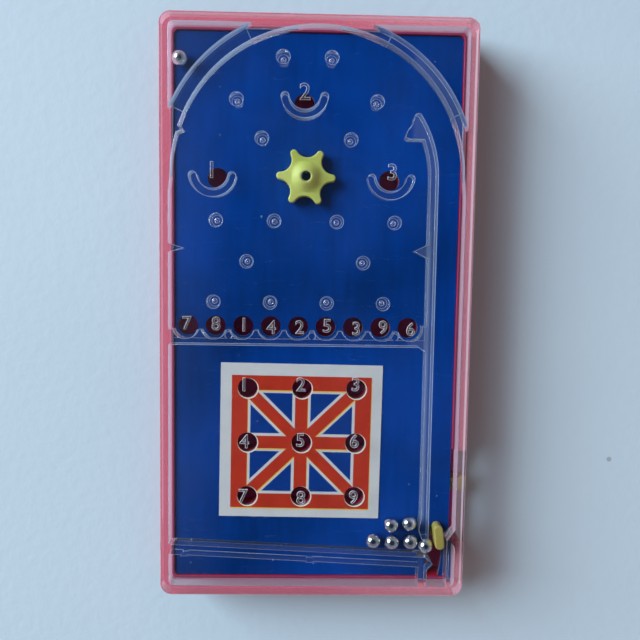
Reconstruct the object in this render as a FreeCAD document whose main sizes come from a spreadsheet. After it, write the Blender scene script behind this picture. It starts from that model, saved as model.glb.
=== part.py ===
import FreeCAD, Part
import math
import os
import re

import Sketcher
from FreeCAD import Rotation, Vector

# Pocket ball game: a red tray under a clear moulded cover, with a blue hole board between them.
# A thumb lever in the tray's side strikes small steel balls up a lane and over an arched track.
# They fall through pins into a row of nine holes, and channels under the board lead each ball
# to its own window of a three by three grid.
#
# Frame: the origin is the middle of the tray's underside, +X to the launch lane, +Y to the
# arched end and +Z up through the clear cover. Lengths are in millimetres, angles in degrees.

SIZES = {
    # case
    "case_width": 68.0,
    "case_length": 127.0,
    "corner_radius": 2.5,
    "wall": 1.7,
    "floor_thickness": 1.6,
    "channel_depth": 4.2,
    "board_thickness": 1.0,
    "play_height": 4.4,
    "cover_plate": 1.8,
    "lip_width": 0.6,
    "lip_height": 0.5,
    "lip_clearance": 0.05,
    "foot_radius": 0.8,
    "rim_radius": 0.6,
    "inner_corner_radius": 1.2,
    # holes of the board: the row runs from wall to wall, the grid hangs below it,
    # and the cups stand about the arch's centre
    "board_clearance": 0.1,
    "hole_diameter": 4.5,
    "row_rise": 58.6,
    "row_margin": 3.64,
    "grid_shift": 1.04,
    "grid_drop": 26.64,
    "grid_pitch_x": 12.31,
    "grid_pitch_y": 12.51,
    "cup_shift": 0.8,
    "cup_spread": 19.0,
    "side_cup_drop": 0.4,
    "top_cup_rise": 16.0,
    "label_width": 36.7,
    "label_height": 35.6,
    "label_thickness": 0.12,
    "label_shift_x": -0.18,
    "label_shift_y": 0.33,
    "label_turn": -0.53,
    # play walls of the cover
    "wall_clearance": 0.1,
    "step_height": 0.3,
    "arch_inset": 0.4,
    "arch_thickness": 2.0,
    "arch_left_thickness": 3.2,
    "arch_lead": 4.0,
    "arch_step_low": 24.6,
    "arch_step_high": 63.0,
    "lane_width": 6.25,
    "divider_thickness": 1.55,
    "divider_bend_radius": 24.0,
    "divider_bend_angle": 34.0,
    "divider_rise": 11.1,
    "foot_height": 4.6,
    "foot_bulge": 0.5,
    "barb_length": 1.8,
    "barb_height": 4.3,
    "spike_length": 3.1,
    "spike_half": 1.5,
    "high_spike_rise": 9.5,
    "low_spike_drop": 15.9,
    "cup_wall": 1.65,
    "cup_radius": 4.3,
    "cup_lift": 0.8,
    "left_cup_shift": 0.75,
    "top_cup_lift": 0.67,
    "cup_end_angle": 9.0,
    "ledge_drop": 3.85,
    "ledge_bar": 1.2,
    "scallop_radius": 2.75,
    "scallop_peak": 0.65,
    "boss_diameter": 1.6,
    "boss_drop": 2.0,
    "rail_rise": 9.5,
    "rail_fall": 2.7,
    "rail_thickness": 2.1,
    "post_thickness": 1.8,
    "nose_reach": 1.15,
    "nose_fall": 1.4,
    "side_rib_depth": 1.8,
    "side_rib_thickness": 0.9,
    "side_rib_rise": 10.8,
    # pins, in rows measured from the arch's centre, and a row over the row of holes
    "pin_diameter": 2.9,
    "pin_tip_diameter": 2.3,
    "pin_dimple_diameter": 1.2,
    "pin_dimple_depth": 0.7,
    "field_shift": 1.3,
    "pin_row_a_rise": 24.9,
    "pin_row_a_half": 5.2,
    "pin_row_b_rise": 15.9,
    "pin_row_b_half": 15.1,
    "pin_row_c_rise": 7.8,
    "pin_row_c_half": 9.6,
    "pin_row_d_drop": 9.8,
    "pin_row_d_half": 6.8,
    "pin_row_d_outer": 19.4,
    "pin_row_e_drop": 18.6,
    "pin_row_e_half": 12.7,
    "pin_row_f_gap": 5.6,
    # star
    "star_tip_radius": 6.5,
    "star_valley_radius": 4.2,
    "star_tip_rounding": 0.8,
    "star_thickness": 2.2,
    "star_hub_height": 1.1,
    "star_hub_radius": 3.4,
    "star_hub_top_radius": 1.6,
    "star_lift": 0.4,
    "star_turn": -2.0,
    "spindle_diameter": 2.0,
    "spindle_clearance": 0.1,
    # channels and posts of the tray
    "channel_width": 4.6,
    "rib_thickness": 0.8,
    "bypass": 6.17,
    "post_diameter": 3.0,
    # launcher: its pivot is set so that the crank carries the hammer up the lane
    "crank_radius": 29.7,
    "crank_width": 2.6,
    "pivot_rise": 7.5,
    "pivot_diameter": 3.0,
    "pivot_clearance": 0.08,
    "hub_diameter": 6.6,
    "hub_height": 2.8,
    "lever_lift": 0.3,
    "arm_lift": 0.7,
    "arm_thickness": 2.2,
    "arm_width": 3.0,
    "arm_root_width": 4.4,
    "hammer_angle": 7.0,
    "hammer_width": 2.1,
    "hammer_length": 5.7,
    "hammer_lift": 0.3,
    "hammer_headroom": 0.7,
    "stem_width": 1.6,
    "stem_length": 3.4,
    "tab_angle": 23.7,
    "tab_reach": 1.4,
    "tab_width": 3.0,
    "tab_headroom": 0.5,
    "slot_inset": 1.7,
    "slot_outset": 1.1,
    "slot_clearance": 0.25,
    "swing": 14.0,
    "notch_low": 2.1,
    "notch_high": 23.4,
    # return spring
    "wire_diameter": 0.5,
    "spring_clearance": 0.12,
    "leg_clearance": 0.03,
    "leg_overhang": 1.5,
    "lever_peg_radius": 14.5,
    "tray_peg_radius": 13.0,
    "tray_peg_angle": -20.0,
    "peg_diameter": 1.2,
    # balls
    "ball_diameter": 3.5,
    "ball_lift": 0.02,
    "corner_ball_gap": 3.54,
}

# The nine holes of the row, left to right, and the window of the grid that each one feeds.
ROW_ORDER = (7, 8, 1, 4, 2, 5, 3, 9, 6)

NAMES = re.compile(r"\b(" + "|".join(sorted(SIZES, key=len, reverse=True)) + r")\b")

doc = FreeCAD.newDocument("pocket_ball_game")
sheet = doc.addObject("Spreadsheet::Sheet", "Sizes")
for row, (alias, value) in enumerate(SIZES.items(), start=1):
    sheet.set(f"A{row}", alias)
    sheet.set(f"B{row}", str(value))
    sheet.setAlias(f"B{row}", alias)
doc.recompute()

# Levels and faces that several pieces share, written as formulas of the driving sizes.
HALF_WIDTH = "case_width / 2"
HALF_LENGTH = "case_length / 2"
INNER_X = f"({HALF_WIDTH} - wall)"
INNER_Y = f"({HALF_LENGTH} - wall)"
FOOT_Y = f"(wall - {HALF_LENGTH})"
LIP_X = f"({INNER_X} - lip_width)"
LIP_Y = f"({INNER_Y} - lip_width)"
BOARD_UNDER = "(floor_thickness + channel_depth)"
BOARD_TOP = f"({BOARD_UNDER} + board_thickness)"
PLATE_UNDER = f"({BOARD_TOP} + play_height)"
PLATE_TOP = f"({PLATE_UNDER} + cover_plate)"
ARCH_RADIUS = f"({INNER_X} - arch_inset)"
ARCH_Y = f"({INNER_Y} - {ARCH_RADIUS})"
ROW_Y = f"({FOOT_Y} + row_rise)"
GRID_Y = f"({ROW_Y} - grid_drop)"
LANE_LEFT = f"({INNER_X} - lane_width)"
DIVIDER_LEFT = f"({LANE_LEFT} - divider_thickness)"
ROW_START = f"(row_margin - {INNER_X})"
ROW_PITCH = f"(({DIVIDER_LEFT} - row_margin - {ROW_START}) / 8)"
MIDDLE_X = f"(({DIVIDER_LEFT} - {INNER_X}) / 2)"
FIELD_X = f"({MIDDLE_X} + field_shift)"
GRID_X = f"({MIDDLE_X} + grid_shift)"
DIVIDER_END = f"({FOOT_Y} + divider_rise)"
RAIL_LEFT_Y = f"({FOOT_Y} + rail_rise)"
RAIL_RIGHT_Y = f"({RAIL_LEFT_Y} - rail_fall)"
SEAT_X = f"(({LANE_LEFT} + nose_reach + {INNER_X} - side_rib_depth) / 2)"
PIVOT_X = f"({SEAT_X} - crank_radius * cos(hammer_angle))"
PIVOT_Y = f"({FOOT_Y} + pivot_rise)"
PIVOT = (PIVOT_X, PIVOT_Y)
ARM_LOW = "(floor_thickness + arm_lift)"
ARM_TOP = f"({ARM_LOW} + arm_thickness)"

# Where the seven balls lie: six by the ball gate, one left over behind the arch.
CORNER_BALL_X = f"(ball_diameter / 2 + 0.45 - {INNER_X})"
CORNER_BALL_REACH = f"({ARCH_RADIUS} + arch_left_thickness + ball_diameter / 2)"
BALLS = {
    "ball_1": (f"{LANE_LEFT} - 8.1", f"{RAIL_LEFT_Y} + 3.95"),
    "ball_2": (f"{LANE_LEFT} - 4.0", f"{RAIL_LEFT_Y} + 4.35"),
    "ball_3": (f"{LANE_LEFT} - 12.15", f"{RAIL_LEFT_Y} + 0.2"),
    "ball_4": (f"{LANE_LEFT} - 7.85", f"{RAIL_LEFT_Y} - 0.05"),
    "ball_5": (f"{LANE_LEFT} - 3.6", f"{RAIL_LEFT_Y} + 0.05"),
    "ball_6": (f"{LANE_LEFT} - 0.1", f"{RAIL_LEFT_Y} - 0.9"),
    "ball_7": (
        CORNER_BALL_X,
        f"{ARCH_Y} + sqrt({CORNER_BALL_REACH}^2 - {CORNER_BALL_X}^2) + corner_ball_gap",
    ),
}


def cell(formula):
    """The formula with each size read from the sheet."""
    return NAMES.sub(r"Sizes.\1", str(formula))


def number(formula):
    """The formula's value now."""
    value = sheet.evalExpression(cell(formula))
    return float(getattr(value, "Value", value))


def bind(item, **formulas):
    """Bind an object's properties to formulas, with _ for the dots of a property's path."""
    for prop, formula in formulas.items():
        item.setExpression(prop.replace("__", "."), cell(formula))
    return item


def place(item, x="0", y="0", z="0"):
    """Bind where an object stands."""
    return bind(item, Placement__Base__x=x, Placement__Base__y=y, Placement__Base__z=z)


def turn(item, angle_formula):
    """Turn an object about its own vertical axis."""
    item.Placement = FreeCAD.Placement(item.Placement.Base, Rotation(Vector(0, 0, 1), 0))
    return bind(item, Placement__Rotation__Angle=angle_formula)


def pin_point(sketch, geometry, position, x, y):
    """Hold one point of a sketch at the place that two formulas give."""
    for kind, formula in (("DistanceX", x), ("DistanceY", y)):
        index = sketch.addConstraint(
            Sketcher.Constraint(kind, -1, 1, geometry, position, number(formula))
        )
        sketch.setExpression(f"Constraints[{index}]", cell(formula))


def draw_circle(sketch, x, y, radius):
    """A full circle held by its centre and radius."""
    centre = Vector(number(x), number(y), 0)
    geometry = sketch.addGeometry(Part.Circle(centre, Vector(0, 0, 1), number(radius)))
    pin_point(sketch, geometry, 3, x, y)
    index = sketch.addConstraint(Sketcher.Constraint("Radius", geometry, number(radius)))
    sketch.setExpression(f"Constraints[{index}]", cell(radius))


def arc_between(start, end, radius, side):
    """The short arc from start to end, with its centre left (1) or right (-1) of the chord."""
    chord = end - start
    rise = math.sqrt(max(radius**2 - (chord.Length / 2) ** 2, 0.0))
    across = Vector(-chord.y, chord.x, 0).normalize()
    centre = (start + end) / 2 + across * (side * rise)
    first, last = (start, end) if side > 0 else (end, start)
    angles = [math.atan2(spot.y - centre.y, spot.x - centre.x) for spot in (first, last)]
    circle = Part.Circle(centre, Vector(0, 0, 1), radius)
    return Part.ArcOfCircle(circle, angles[0], angles[1])


def draw(sketch, corners, closed=True):
    """An outline through corners (x, y), or (x, y, radius, side) where the edge after it bends."""
    spots = [Vector(number(corner[0]), number(corner[1]), 0) for corner in corners]
    edges = len(corners) if closed else len(corners) - 1
    ends = []
    for i in range(edges):
        start, end = spots[i], spots[(i + 1) % len(spots)]
        if len(corners[i]) == 4:
            radius, side = corners[i][2:]
            geometry = sketch.addGeometry(arc_between(start, end, number(radius), side))
            index = sketch.addConstraint(Sketcher.Constraint("Radius", geometry, number(radius)))
            sketch.setExpression(f"Constraints[{index}]", cell(radius))
            ends.append((geometry, 1, 2) if side > 0 else (geometry, 2, 1))
        else:
            ends.append((sketch.addGeometry(Part.LineSegment(start, end)), 1, 2))
        pin_point(sketch, ends[i][0], ends[i][1], corners[i][0], corners[i][1])
    for i in range(edges if closed else edges - 1):
        here, after = ends[i], ends[(i + 1) % edges]
        sketch.addConstraint(
            Sketcher.Constraint("Coincident", here[0], here[2], after[0], after[1])
        )
    if not closed:
        pin_point(sketch, ends[-1][0], ends[-1][2], corners[-1][0], corners[-1][1])


def rounded(half_x, half_y, radius):
    """Corners of a rounded rectangle about the origin, anticlockwise."""
    inner_x, inner_y = f"({half_x} - {radius})", f"({half_y} - {radius})"
    return [
        (inner_x, f"-{half_y}", radius, 1),
        (half_x, f"-{inner_y}"),
        (half_x, inner_y, radius, 1),
        (inner_x, half_y),
        (f"-{inner_x}", half_y, radius, 1),
        (f"-{half_x}", inner_y),
        (f"-{half_x}", f"-{inner_y}", radius, 1),
        (f"-{inner_x}", f"-{half_y}"),
    ]


def loose_sketch(name, z="0"):
    """A sketch that stands by itself at a height."""
    sketch = doc.addObject("Sketcher::SketchObject", name)
    return place(sketch, z=z)


def body_sketch(body, name, z="0"):
    """A sketch on the body's own level plane, lifted to a height."""
    plane = next(item for item in body.Origin.OriginFeatures if item.Role == "XY_Plane")
    sketch = body.newObject("Sketcher::SketchObject", name)
    sketch.AttachmentSupport = (plane, [""])
    sketch.MapMode = "FlatFace"
    return bind(sketch, AttachmentOffset__Base__z=z)


def pad(body, sketch, length):
    """Add a prism that rises from a body's sketch."""
    feature = body.newObject("PartDesign::Pad", sketch.Name + "_pad")
    feature.Profile = sketch
    return bind(feature, Length=length)


def pocket(body, sketch, length):
    """Cut a prism that rises from a body's sketch."""
    feature = body.newObject("PartDesign::Pocket", sketch.Name + "_pocket")
    feature.Profile = sketch
    feature.Reversed = True
    return bind(feature, Length=length)


def fillet_level(body, feature, level, radius):
    """Round the outer edges of a body that lie wholly at one height."""
    doc.recompute()
    height = number(level)
    edges = []
    for i, edge in enumerate(feature.Shape.Edges, start=1):
        box = edge.BoundBox
        if abs(box.ZMin - height) < 1e-6 and abs(box.ZMax - height) < 1e-6:
            edges.append(f"Edge{i}")
    fillet = body.newObject("PartDesign::Fillet", feature.Name + "_rounding")
    fillet.Base = (feature, edges)
    return bind(fillet, Radius=radius)


def prism(outline, height):
    """A solid that rises from a closed outline."""
    feature = doc.addObject("Part::Extrusion", outline.Name + "_prism")
    feature.Base = outline
    feature.DirMode = "Custom"
    feature.Dir = Vector(0, 0, 1)
    feature.Solid = True
    return bind(feature, LengthFwd=height)


def outline_prism(name, corners, z, height):
    """A prism on an outline of corners."""
    sketch = loose_sketch(name, z)
    draw(sketch, corners)
    return prism(sketch, height)


def stroke(name, points, width, z, height):
    """A wall of even width along a line, with round ends."""
    line = loose_sketch(name, z)
    draw(line, points, closed=False)
    edge = doc.addObject("Part::Offset2D", name + "_edge")
    edge.Source = line
    edge.Mode = "Pipe"
    edge.Join = "Arc"
    edge.Fill = False
    bind(edge, Value=f"({width}) / 2")
    return prism(edge, height)


def box(name, low, high):
    """A block between two corners."""
    item = doc.addObject("Part::Box", name)
    place(item, *low)
    sides = [f"({top}) - ({bottom})" for bottom, top in zip(low, high)]
    return bind(item, Length=sides[0], Width=sides[1], Height=sides[2])


def cylinder(name, x, y, z, radius, height):
    """An upright cylinder."""
    item = doc.addObject("Part::Cylinder", name)
    place(item, x, y, z)
    return bind(item, Radius=radius, Height=height)


def cone(name, x, y, z, low_radius, high_radius, height):
    """An upright cone."""
    item = doc.addObject("Part::Cone", name)
    place(item, x, y, z)
    return bind(item, Radius1=low_radius, Radius2=high_radius, Height=height)


def fuse(name, pieces):
    """One solid from pieces that meet."""
    item = doc.addObject("Part::MultiFuse", name)
    item.Shapes = pieces
    item.Refine = True
    return item


def cut(name, base, tool):
    """A solid less another."""
    item = doc.addObject("Part::Cut", name)
    item.Base = base
    item.Tool = tool
    item.Refine = True
    return item


def common(name, first, second):
    """What two solids share."""
    item = doc.addObject("Part::MultiCommon", name)
    item.Shapes = [first, second]
    return item


def arcsine(ratio):
    """The angle in plain degrees whose sine is a ratio."""
    return f"(asin({ratio}) / 1 deg)"


def rim(angle, radius, x="0", y="0"):
    """The point at an angle on a circle, as two formulas."""
    return f"({x} + ({radius}) * cos({angle}))", f"({y} + ({radius}) * sin({angle}))"


def row_hole(i):
    """Centre of a hole of the row, counted from the left."""
    return f"({ROW_START} + {i} * {ROW_PITCH})", ROW_Y


def window(number_in_grid):
    """Centre of a window of the grid, numbered by rows from the top left."""
    row, column = divmod(number_in_grid - 1, 3)
    return (
        f"({GRID_X} + {column - 1} * grid_pitch_x)",
        f"({GRID_Y} - {row - 1} * grid_pitch_y)",
    )


def cup_hole(number_of_cup):
    """Centre of a cup's hole: 1 left, 2 top, 3 right."""
    side = number_of_cup - 2
    y = f"({ARCH_Y} - side_cup_drop)" if side else f"({ARCH_Y} + top_cup_rise)"
    return f"({MIDDLE_X} + cup_shift + {side} * cup_spread)", y


def all_holes():
    """Centres of every ball hole in the board."""
    holes = [row_hole(i) for i in range(9)]
    holes += [window(i) for i in range(1, 10)]
    holes += [cup_hole(i) for i in (1, 2, 3)]
    return holes


# Tray

def channel_routes():
    """Lines of the ball channels, from the hole of the row or the cup to the window it feeds."""
    start = {name: row_hole(i) for i, name in enumerate(ROW_ORDER)}
    end = {name: window(name) for name in range(1, 10)}
    routes = []
    for name in (1, 2, 3):
        routes.append([cup_hole(name), start[name], end[name]])
    # windows of the middle row are reached from the channel's own side of their column
    routes.append([
        start[4],
        (f"{end[4][0]} + bypass", f"{end[4][1]} + grid_pitch_y * 0.43"),
        end[4],
    ])
    routes.append([
        start[5],
        (f"{end[2][0]} + bypass - 0.6", f"{end[2][1]} - bypass / 2"),
        (end[5][0], f"{end[5][1]} + 3.8"),
        end[5],
    ])
    routes.append([
        start[6],
        (start[6][0], f"{end[6][1]} + grid_pitch_y * 0.38"),
        end[6],
    ])
    # windows of the last row are reached by slipping between the two windows above them
    routes.append([
        start[9],
        (f"{end[3][0]} + bypass - 0.2", f"{end[3][1]} - bypass / 2"),
        (f"{end[3][0]} - bypass + 0.3", f"{end[6][1]} + bypass / 2 - 0.3"),
        (f"{end[3][0]} - bypass", f"{end[6][1]} - bypass"),
        end[9],
    ])
    routes.append([
        start[8],
        (f"{end[4][0]} - bypass + 0.2", f"{end[4][1]} - bypass / 2"),
        (f"{end[4][0]} + bypass - 0.3", f"{end[7][1]} + bypass / 2 - 0.3"),
        end[8],
    ])
    routes.append([
        start[7],
        (start[7][0], f"{end[7][1]} + grid_pitch_y * 0.38"),
        end[7],
    ])
    return routes


def channel_ribs():
    """Thin ribs on both sides of every channel, from the floor to the board."""
    wide = "channel_width + 2 * rib_thickness"
    routes = channel_routes()
    outer = [
        stroke(f"rib_line_{i}", route, wide, "floor_thickness", "channel_depth")
        for i, route in enumerate(routes)
    ]
    inner = [
        stroke(f"channel_line_{i}", route, "channel_width", "floor_thickness", "channel_depth")
        for i, route in enumerate(routes)
    ]
    return cut("channel_ribs", fuse("rib_blocks", outer), fuse("channels", inner))


def support_posts():
    """Round posts that carry the board where no channel runs."""
    side, end = f"({LIP_X} - 4.2)", f"({LIP_Y} - 5.7)"
    places = [
        (f"3.5 - {side}", end), (f"{side} - 3.5", end),
        (f"-{side}", f"{ARCH_Y} + 16"), (side, f"{ARCH_Y} + 10"),
        (f"-{side}", f"{ARCH_Y} - 16"), (side, f"{ARCH_Y} - 18"),
        (side, f"{ROW_Y} - 11"), (f"{FIELD_X} + 6", f"{ARCH_Y} - 6"),
        (f"-{side}", f"-{end}"), (f"{PIVOT_X} - 12.5", f"-{end}"),
        (f"{PIVOT_X} + 18.6", f"1.2 - {LIP_Y}"),
    ]
    return [
        cylinder(f"board_post_{i}", x, y, "floor_thickness", "post_diameter / 2", "channel_depth")
        for i, (x, y) in enumerate(places)
    ]


def base_tray():
    """Floor, walls with a raised inner lip, ball channels, posts and the thumb notch."""
    shell = doc.addObject("PartDesign::Body", "tray_shell")
    outside = body_sketch(shell, "tray_outside")
    draw(outside, rounded(HALF_WIDTH, HALF_LENGTH, "corner_radius"))
    block = pad(shell, outside, BOARD_TOP)
    foot = fillet_level(shell, block, "0", "foot_radius")
    lip = body_sketch(shell, "lip", BOARD_TOP)
    draw(lip, rounded(f"({INNER_X} - lip_clearance)", f"({INNER_Y} - lip_clearance)",
                      "inner_corner_radius"))
    pad(shell, lip, "lip_height")
    inside = body_sketch(shell, "tray_inside", "floor_thickness")
    draw(inside, rounded(LIP_X, LIP_Y, "inner_corner_radius"))
    pocket(shell, inside, f"{BOARD_TOP} + lip_height")
    pivot = cylinder("pivot_post", *PIVOT, "floor_thickness", "pivot_diameter / 2",
                     "channel_depth")
    peg_x, peg_y = tray_peg()
    peg = cylinder("spring_peg", peg_x, peg_y, "floor_thickness", "peg_diameter / 2",
                   "channel_depth")
    pieces = [shell, channel_ribs(), pivot, peg] + support_posts()
    notch = box("thumb_notch", (f"{LIP_X} - 1", f"{PIVOT_Y} + notch_low", "floor_thickness"),
                (f"{HALF_WIDTH} + 1", f"{PIVOT_Y} + notch_high",
                 f"{BOARD_TOP} + lip_height + 1"))
    return cut("base_tray", fuse("tray_solid", pieces), notch)


# Board and label

def launcher_slot():
    """Corners of the slot that the lever's hammer swings in, open at the board's end."""
    top = f"(hammer_angle + {arcsine('(stem_length / 2 + slot_clearance) / crank_radius')})"
    low = "(hammer_angle - swing - 16)"
    inner, outer = "(crank_radius - slot_inset)", "(crank_radius + slot_outset)"
    return [
        rim(top, inner, *PIVOT),
        (*rim(low, inner, *PIVOT), ),
        (*rim(low, outer, *PIVOT), outer, 1),
        rim(top, outer, *PIVOT),
    ]


def playfield_board():
    """The blue board with its ball holes and the hammer's slot."""
    plate = doc.addObject("PartDesign::Body", "board_plate")
    outline = body_sketch(plate, "board_outline", BOARD_UNDER)
    draw(outline, rounded(f"({LIP_X} - board_clearance)", f"({LIP_Y} - board_clearance)",
                          "inner_corner_radius"))
    pad(plate, outline, "board_thickness")
    holes = body_sketch(plate, "ball_holes", BOARD_UNDER)
    for x, y in all_holes():
        draw_circle(holes, x, y, "hole_diameter / 2")
    pocket(plate, holes, "board_thickness")
    slot = outline_prism("hammer_slot", launcher_slot(), f"{BOARD_UNDER} - 1",
                         "board_thickness + 2")
    return cut("playfield_board", plate, slot)


def grid_label():
    """The printed paper square, stuck down a little askew, with its nine windows."""
    label = doc.addObject("PartDesign::Body", "grid_label")
    outline = body_sketch(label, "label_outline", BOARD_TOP)
    corners = []
    for sx, sy in ((1, -1), (1, 1), (-1, 1), (-1, -1)):
        across, along = f"{sx} * label_width / 2", f"{sy} * label_height / 2"
        corners.append((
            f"{GRID_X} + label_shift_x + {across} * cos(label_turn) - {along} * sin(label_turn)",
            f"{GRID_Y} + label_shift_y + {across} * sin(label_turn) + {along} * cos(label_turn)",
        ))
    draw(outline, corners)
    pad(label, outline, "label_thickness")
    windows = body_sketch(label, "label_windows", BOARD_TOP)
    for i in range(1, 10):
        x, y = window(i)
        draw_circle(windows, x, y, "hole_diameter / 2")
    pocket(label, windows, "label_thickness")
    return label


# Cover

def cover_shell():
    """The clear lid: four walls and a top plate with rounded outer edges."""
    shell = doc.addObject("PartDesign::Body", "cover_shell")
    outside = body_sketch(shell, "cover_outside", BOARD_TOP)
    draw(outside, rounded(HALF_WIDTH, HALF_LENGTH, "corner_radius"))
    block = pad(shell, outside, "play_height + cover_plate")
    fillet_level(shell, block, PLATE_TOP, "rim_radius")
    inside = body_sketch(shell, "cover_inside", BOARD_TOP)
    draw(inside, rounded(INNER_X, INNER_Y, "inner_corner_radius"))
    pocket(shell, inside, "play_height")
    return shell


def hanging(height_above_board="wall_clearance"):
    """Start and height of a wall that hangs from the plate down to the board."""
    low = f"({BOARD_TOP} + {height_above_board})"
    return low, f"({PLATE_UNDER} - {low})"


def arch_track():
    """Curved wall round the arched end; its free corner stretches stop a step higher."""
    low, height = hanging()
    reach = "wall / 2"
    halves = []
    for side, sign, thickness in (("right", 1, "arch_thickness"),
                                  ("left", -1, "arch_left_thickness")):
        outer = cylinder(f"arch_outer_{side}", "0", ARCH_Y, low, f"{ARCH_RADIUS} + {thickness}",
                         height)
        far = f"({INNER_X} + {reach})"
        low_x, high_x = ("0", far) if sign > 0 else (f"-{far}", "0")
        quarter = box(f"arch_quarter_{side}", (low_x, ARCH_Y, low),
                      (high_x, f"{INNER_Y} + {reach}", PLATE_UNDER))
        halves.append(common(f"arch_half_{side}", outer, quarter))
    ring = cut("arch_ring", fuse("arch_blank", halves),
               cylinder("arch_inner", "0", ARCH_Y, low, ARCH_RADIUS, height))
    steps = []
    for name, start in (("right", "arch_step_low"), ("left", "180 - arch_step_high")):
        step = cylinder(f"arch_step_{name}", "0", ARCH_Y, low,
                        f"{ARCH_RADIUS} + arch_left_thickness + 1", "step_height")
        bind(step, Angle="arch_step_high - arch_step_low")
        steps.append(turn(step, start))
    track = cut("arch_track", ring, fuse("arch_steps", steps))
    leads = []
    for name, side in (("right", ""), ("left", "-")):
        corners = [
            (f"{side}{ARCH_RADIUS}", f"{ARCH_Y} + 0.2"),
            (f"{side}{ARCH_RADIUS}", ARCH_Y),
            (f"{side}{INNER_X}", f"{ARCH_Y} - arch_lead"),
            (f"{side}({INNER_X} + {reach})", f"{ARCH_Y} - arch_lead"),
            (f"{side}({INNER_X} + {reach})", f"{ARCH_Y} + 0.2"),
        ]
        leads.append(outline_prism(f"arch_lead_{name}", corners, low, height))
    return [track] + leads


def lane_divider():
    """Wall beside the launch lane, bent over at the top, with a foot at the ball gate."""
    low, height = hanging()
    bend_x = f"({LANE_LEFT} - divider_bend_radius)"
    inner_bend = "(divider_bend_radius - divider_thickness)"
    tip_right = rim("divider_bend_angle", "divider_bend_radius", bend_x, ARCH_Y)
    tip_left = rim("divider_bend_angle", inner_bend, bend_x, ARCH_Y)
    corners = [
        (LANE_LEFT, DIVIDER_END),
        (LANE_LEFT, ARCH_Y, "divider_bend_radius", 1),
        (*tip_right, "divider_thickness * 0.52", 1),
        (*tip_left, inner_bend, -1),
        (DIVIDER_LEFT, ARCH_Y),
        (DIVIDER_LEFT, f"{DIVIDER_END} + foot_height"),
        (f"{DIVIDER_LEFT} - foot_bulge", f"{DIVIDER_END} + foot_height * 0.45"),
        (f"{DIVIDER_LEFT} + 0.25", DIVIDER_END),
    ]
    return outline_prism("lane_divider", corners, low, height)


def spikes():
    """Small pointed teeth that turn a ball: two on the left wall, one on the divider, a barb."""
    low, height = hanging()
    left = f"-{INNER_X}"
    pieces = []
    high_y, low_y = f"({ARCH_Y} + high_spike_rise)", f"({ARCH_Y} - low_spike_drop)"
    for name, y, half in (("high", high_y, "spike_half"), ("low", low_y, "spike_half * 0.6")):
        pieces.append(outline_prism(f"left_spike_{name}", [
            (f"{left} - 0.5", f"{y} - {half}"),
            (left, f"{y} - {half}"),
            (f"{left} + spike_length", y),
            (left, f"{y} + {half}"),
            (f"{left} - 0.5", f"{y} + {half}"),
        ], low, height))
    middle = f"{DIVIDER_LEFT} + divider_thickness / 2"
    pieces.append(outline_prism("divider_spike", [
        (middle, f"{low_y} - spike_half"),
        (middle, f"{low_y} + spike_half"),
        (DIVIDER_LEFT, f"{low_y} + spike_half"),
        (f"{DIVIDER_LEFT} - spike_length", low_y),
        (DIVIDER_LEFT, f"{low_y} - spike_half"),
    ], low, height))
    bend_x = f"({LANE_LEFT} - divider_bend_radius)"
    inner_bend = "(divider_bend_radius - divider_thickness)"
    middle_bend = "(divider_bend_radius - divider_thickness / 2)"
    tip = rim("divider_bend_angle", inner_bend, bend_x, ARCH_Y)
    root_rise = arcsine(f"({inner_bend} * sin(divider_bend_angle) - barb_height) / {middle_bend}")
    pieces.append(outline_prism("divider_barb", [
        rim(root_rise, middle_bend, bend_x, ARCH_Y),
        rim("(divider_bend_angle - 1)", middle_bend, bend_x, ARCH_Y),
        tip,
        (f"{tip[0]} - barb_length * 0.2", f"{tip[1]} - barb_height * 0.3"),
        (f"{tip[0]} - barb_length * 0.7", f"{tip[1]} - barb_height * 0.53"),
        (f"{tip[0]} - barb_length", f"{tip[1]} - barb_height * 0.9"),
        (f"{tip[0]} - barb_length * 0.55", f"{tip[1]} - barb_height"),
    ], low, height))
    return pieces


def cup_walls():
    """Three smiling walls that catch a ball over the cup holes, two of them a little off centre."""
    low, height = hanging()
    aside = {1: "left_cup_shift", 2: "0", 3: "0"}
    raised = {1: "cup_lift", 2: "(cup_lift + top_cup_lift)", 3: "cup_lift"}
    walls = []
    for i in (1, 2, 3):
        hole_x, hole_y = cup_hole(i)
        x, y = f"({hole_x} - {aside[i]})", f"({hole_y} + {raised[i]})"
        left = rim("180 + cup_end_angle", "cup_radius", x, y)
        bottom = rim("270", "cup_radius", x, y)
        right = rim("-cup_end_angle", "cup_radius", x, y)
        points = [(*left, "cup_radius", 1), (*bottom, "cup_radius", 1), right]
        walls.append(stroke(f"cup_{i}", points, "cup_wall", low, height))
    return walls


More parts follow.
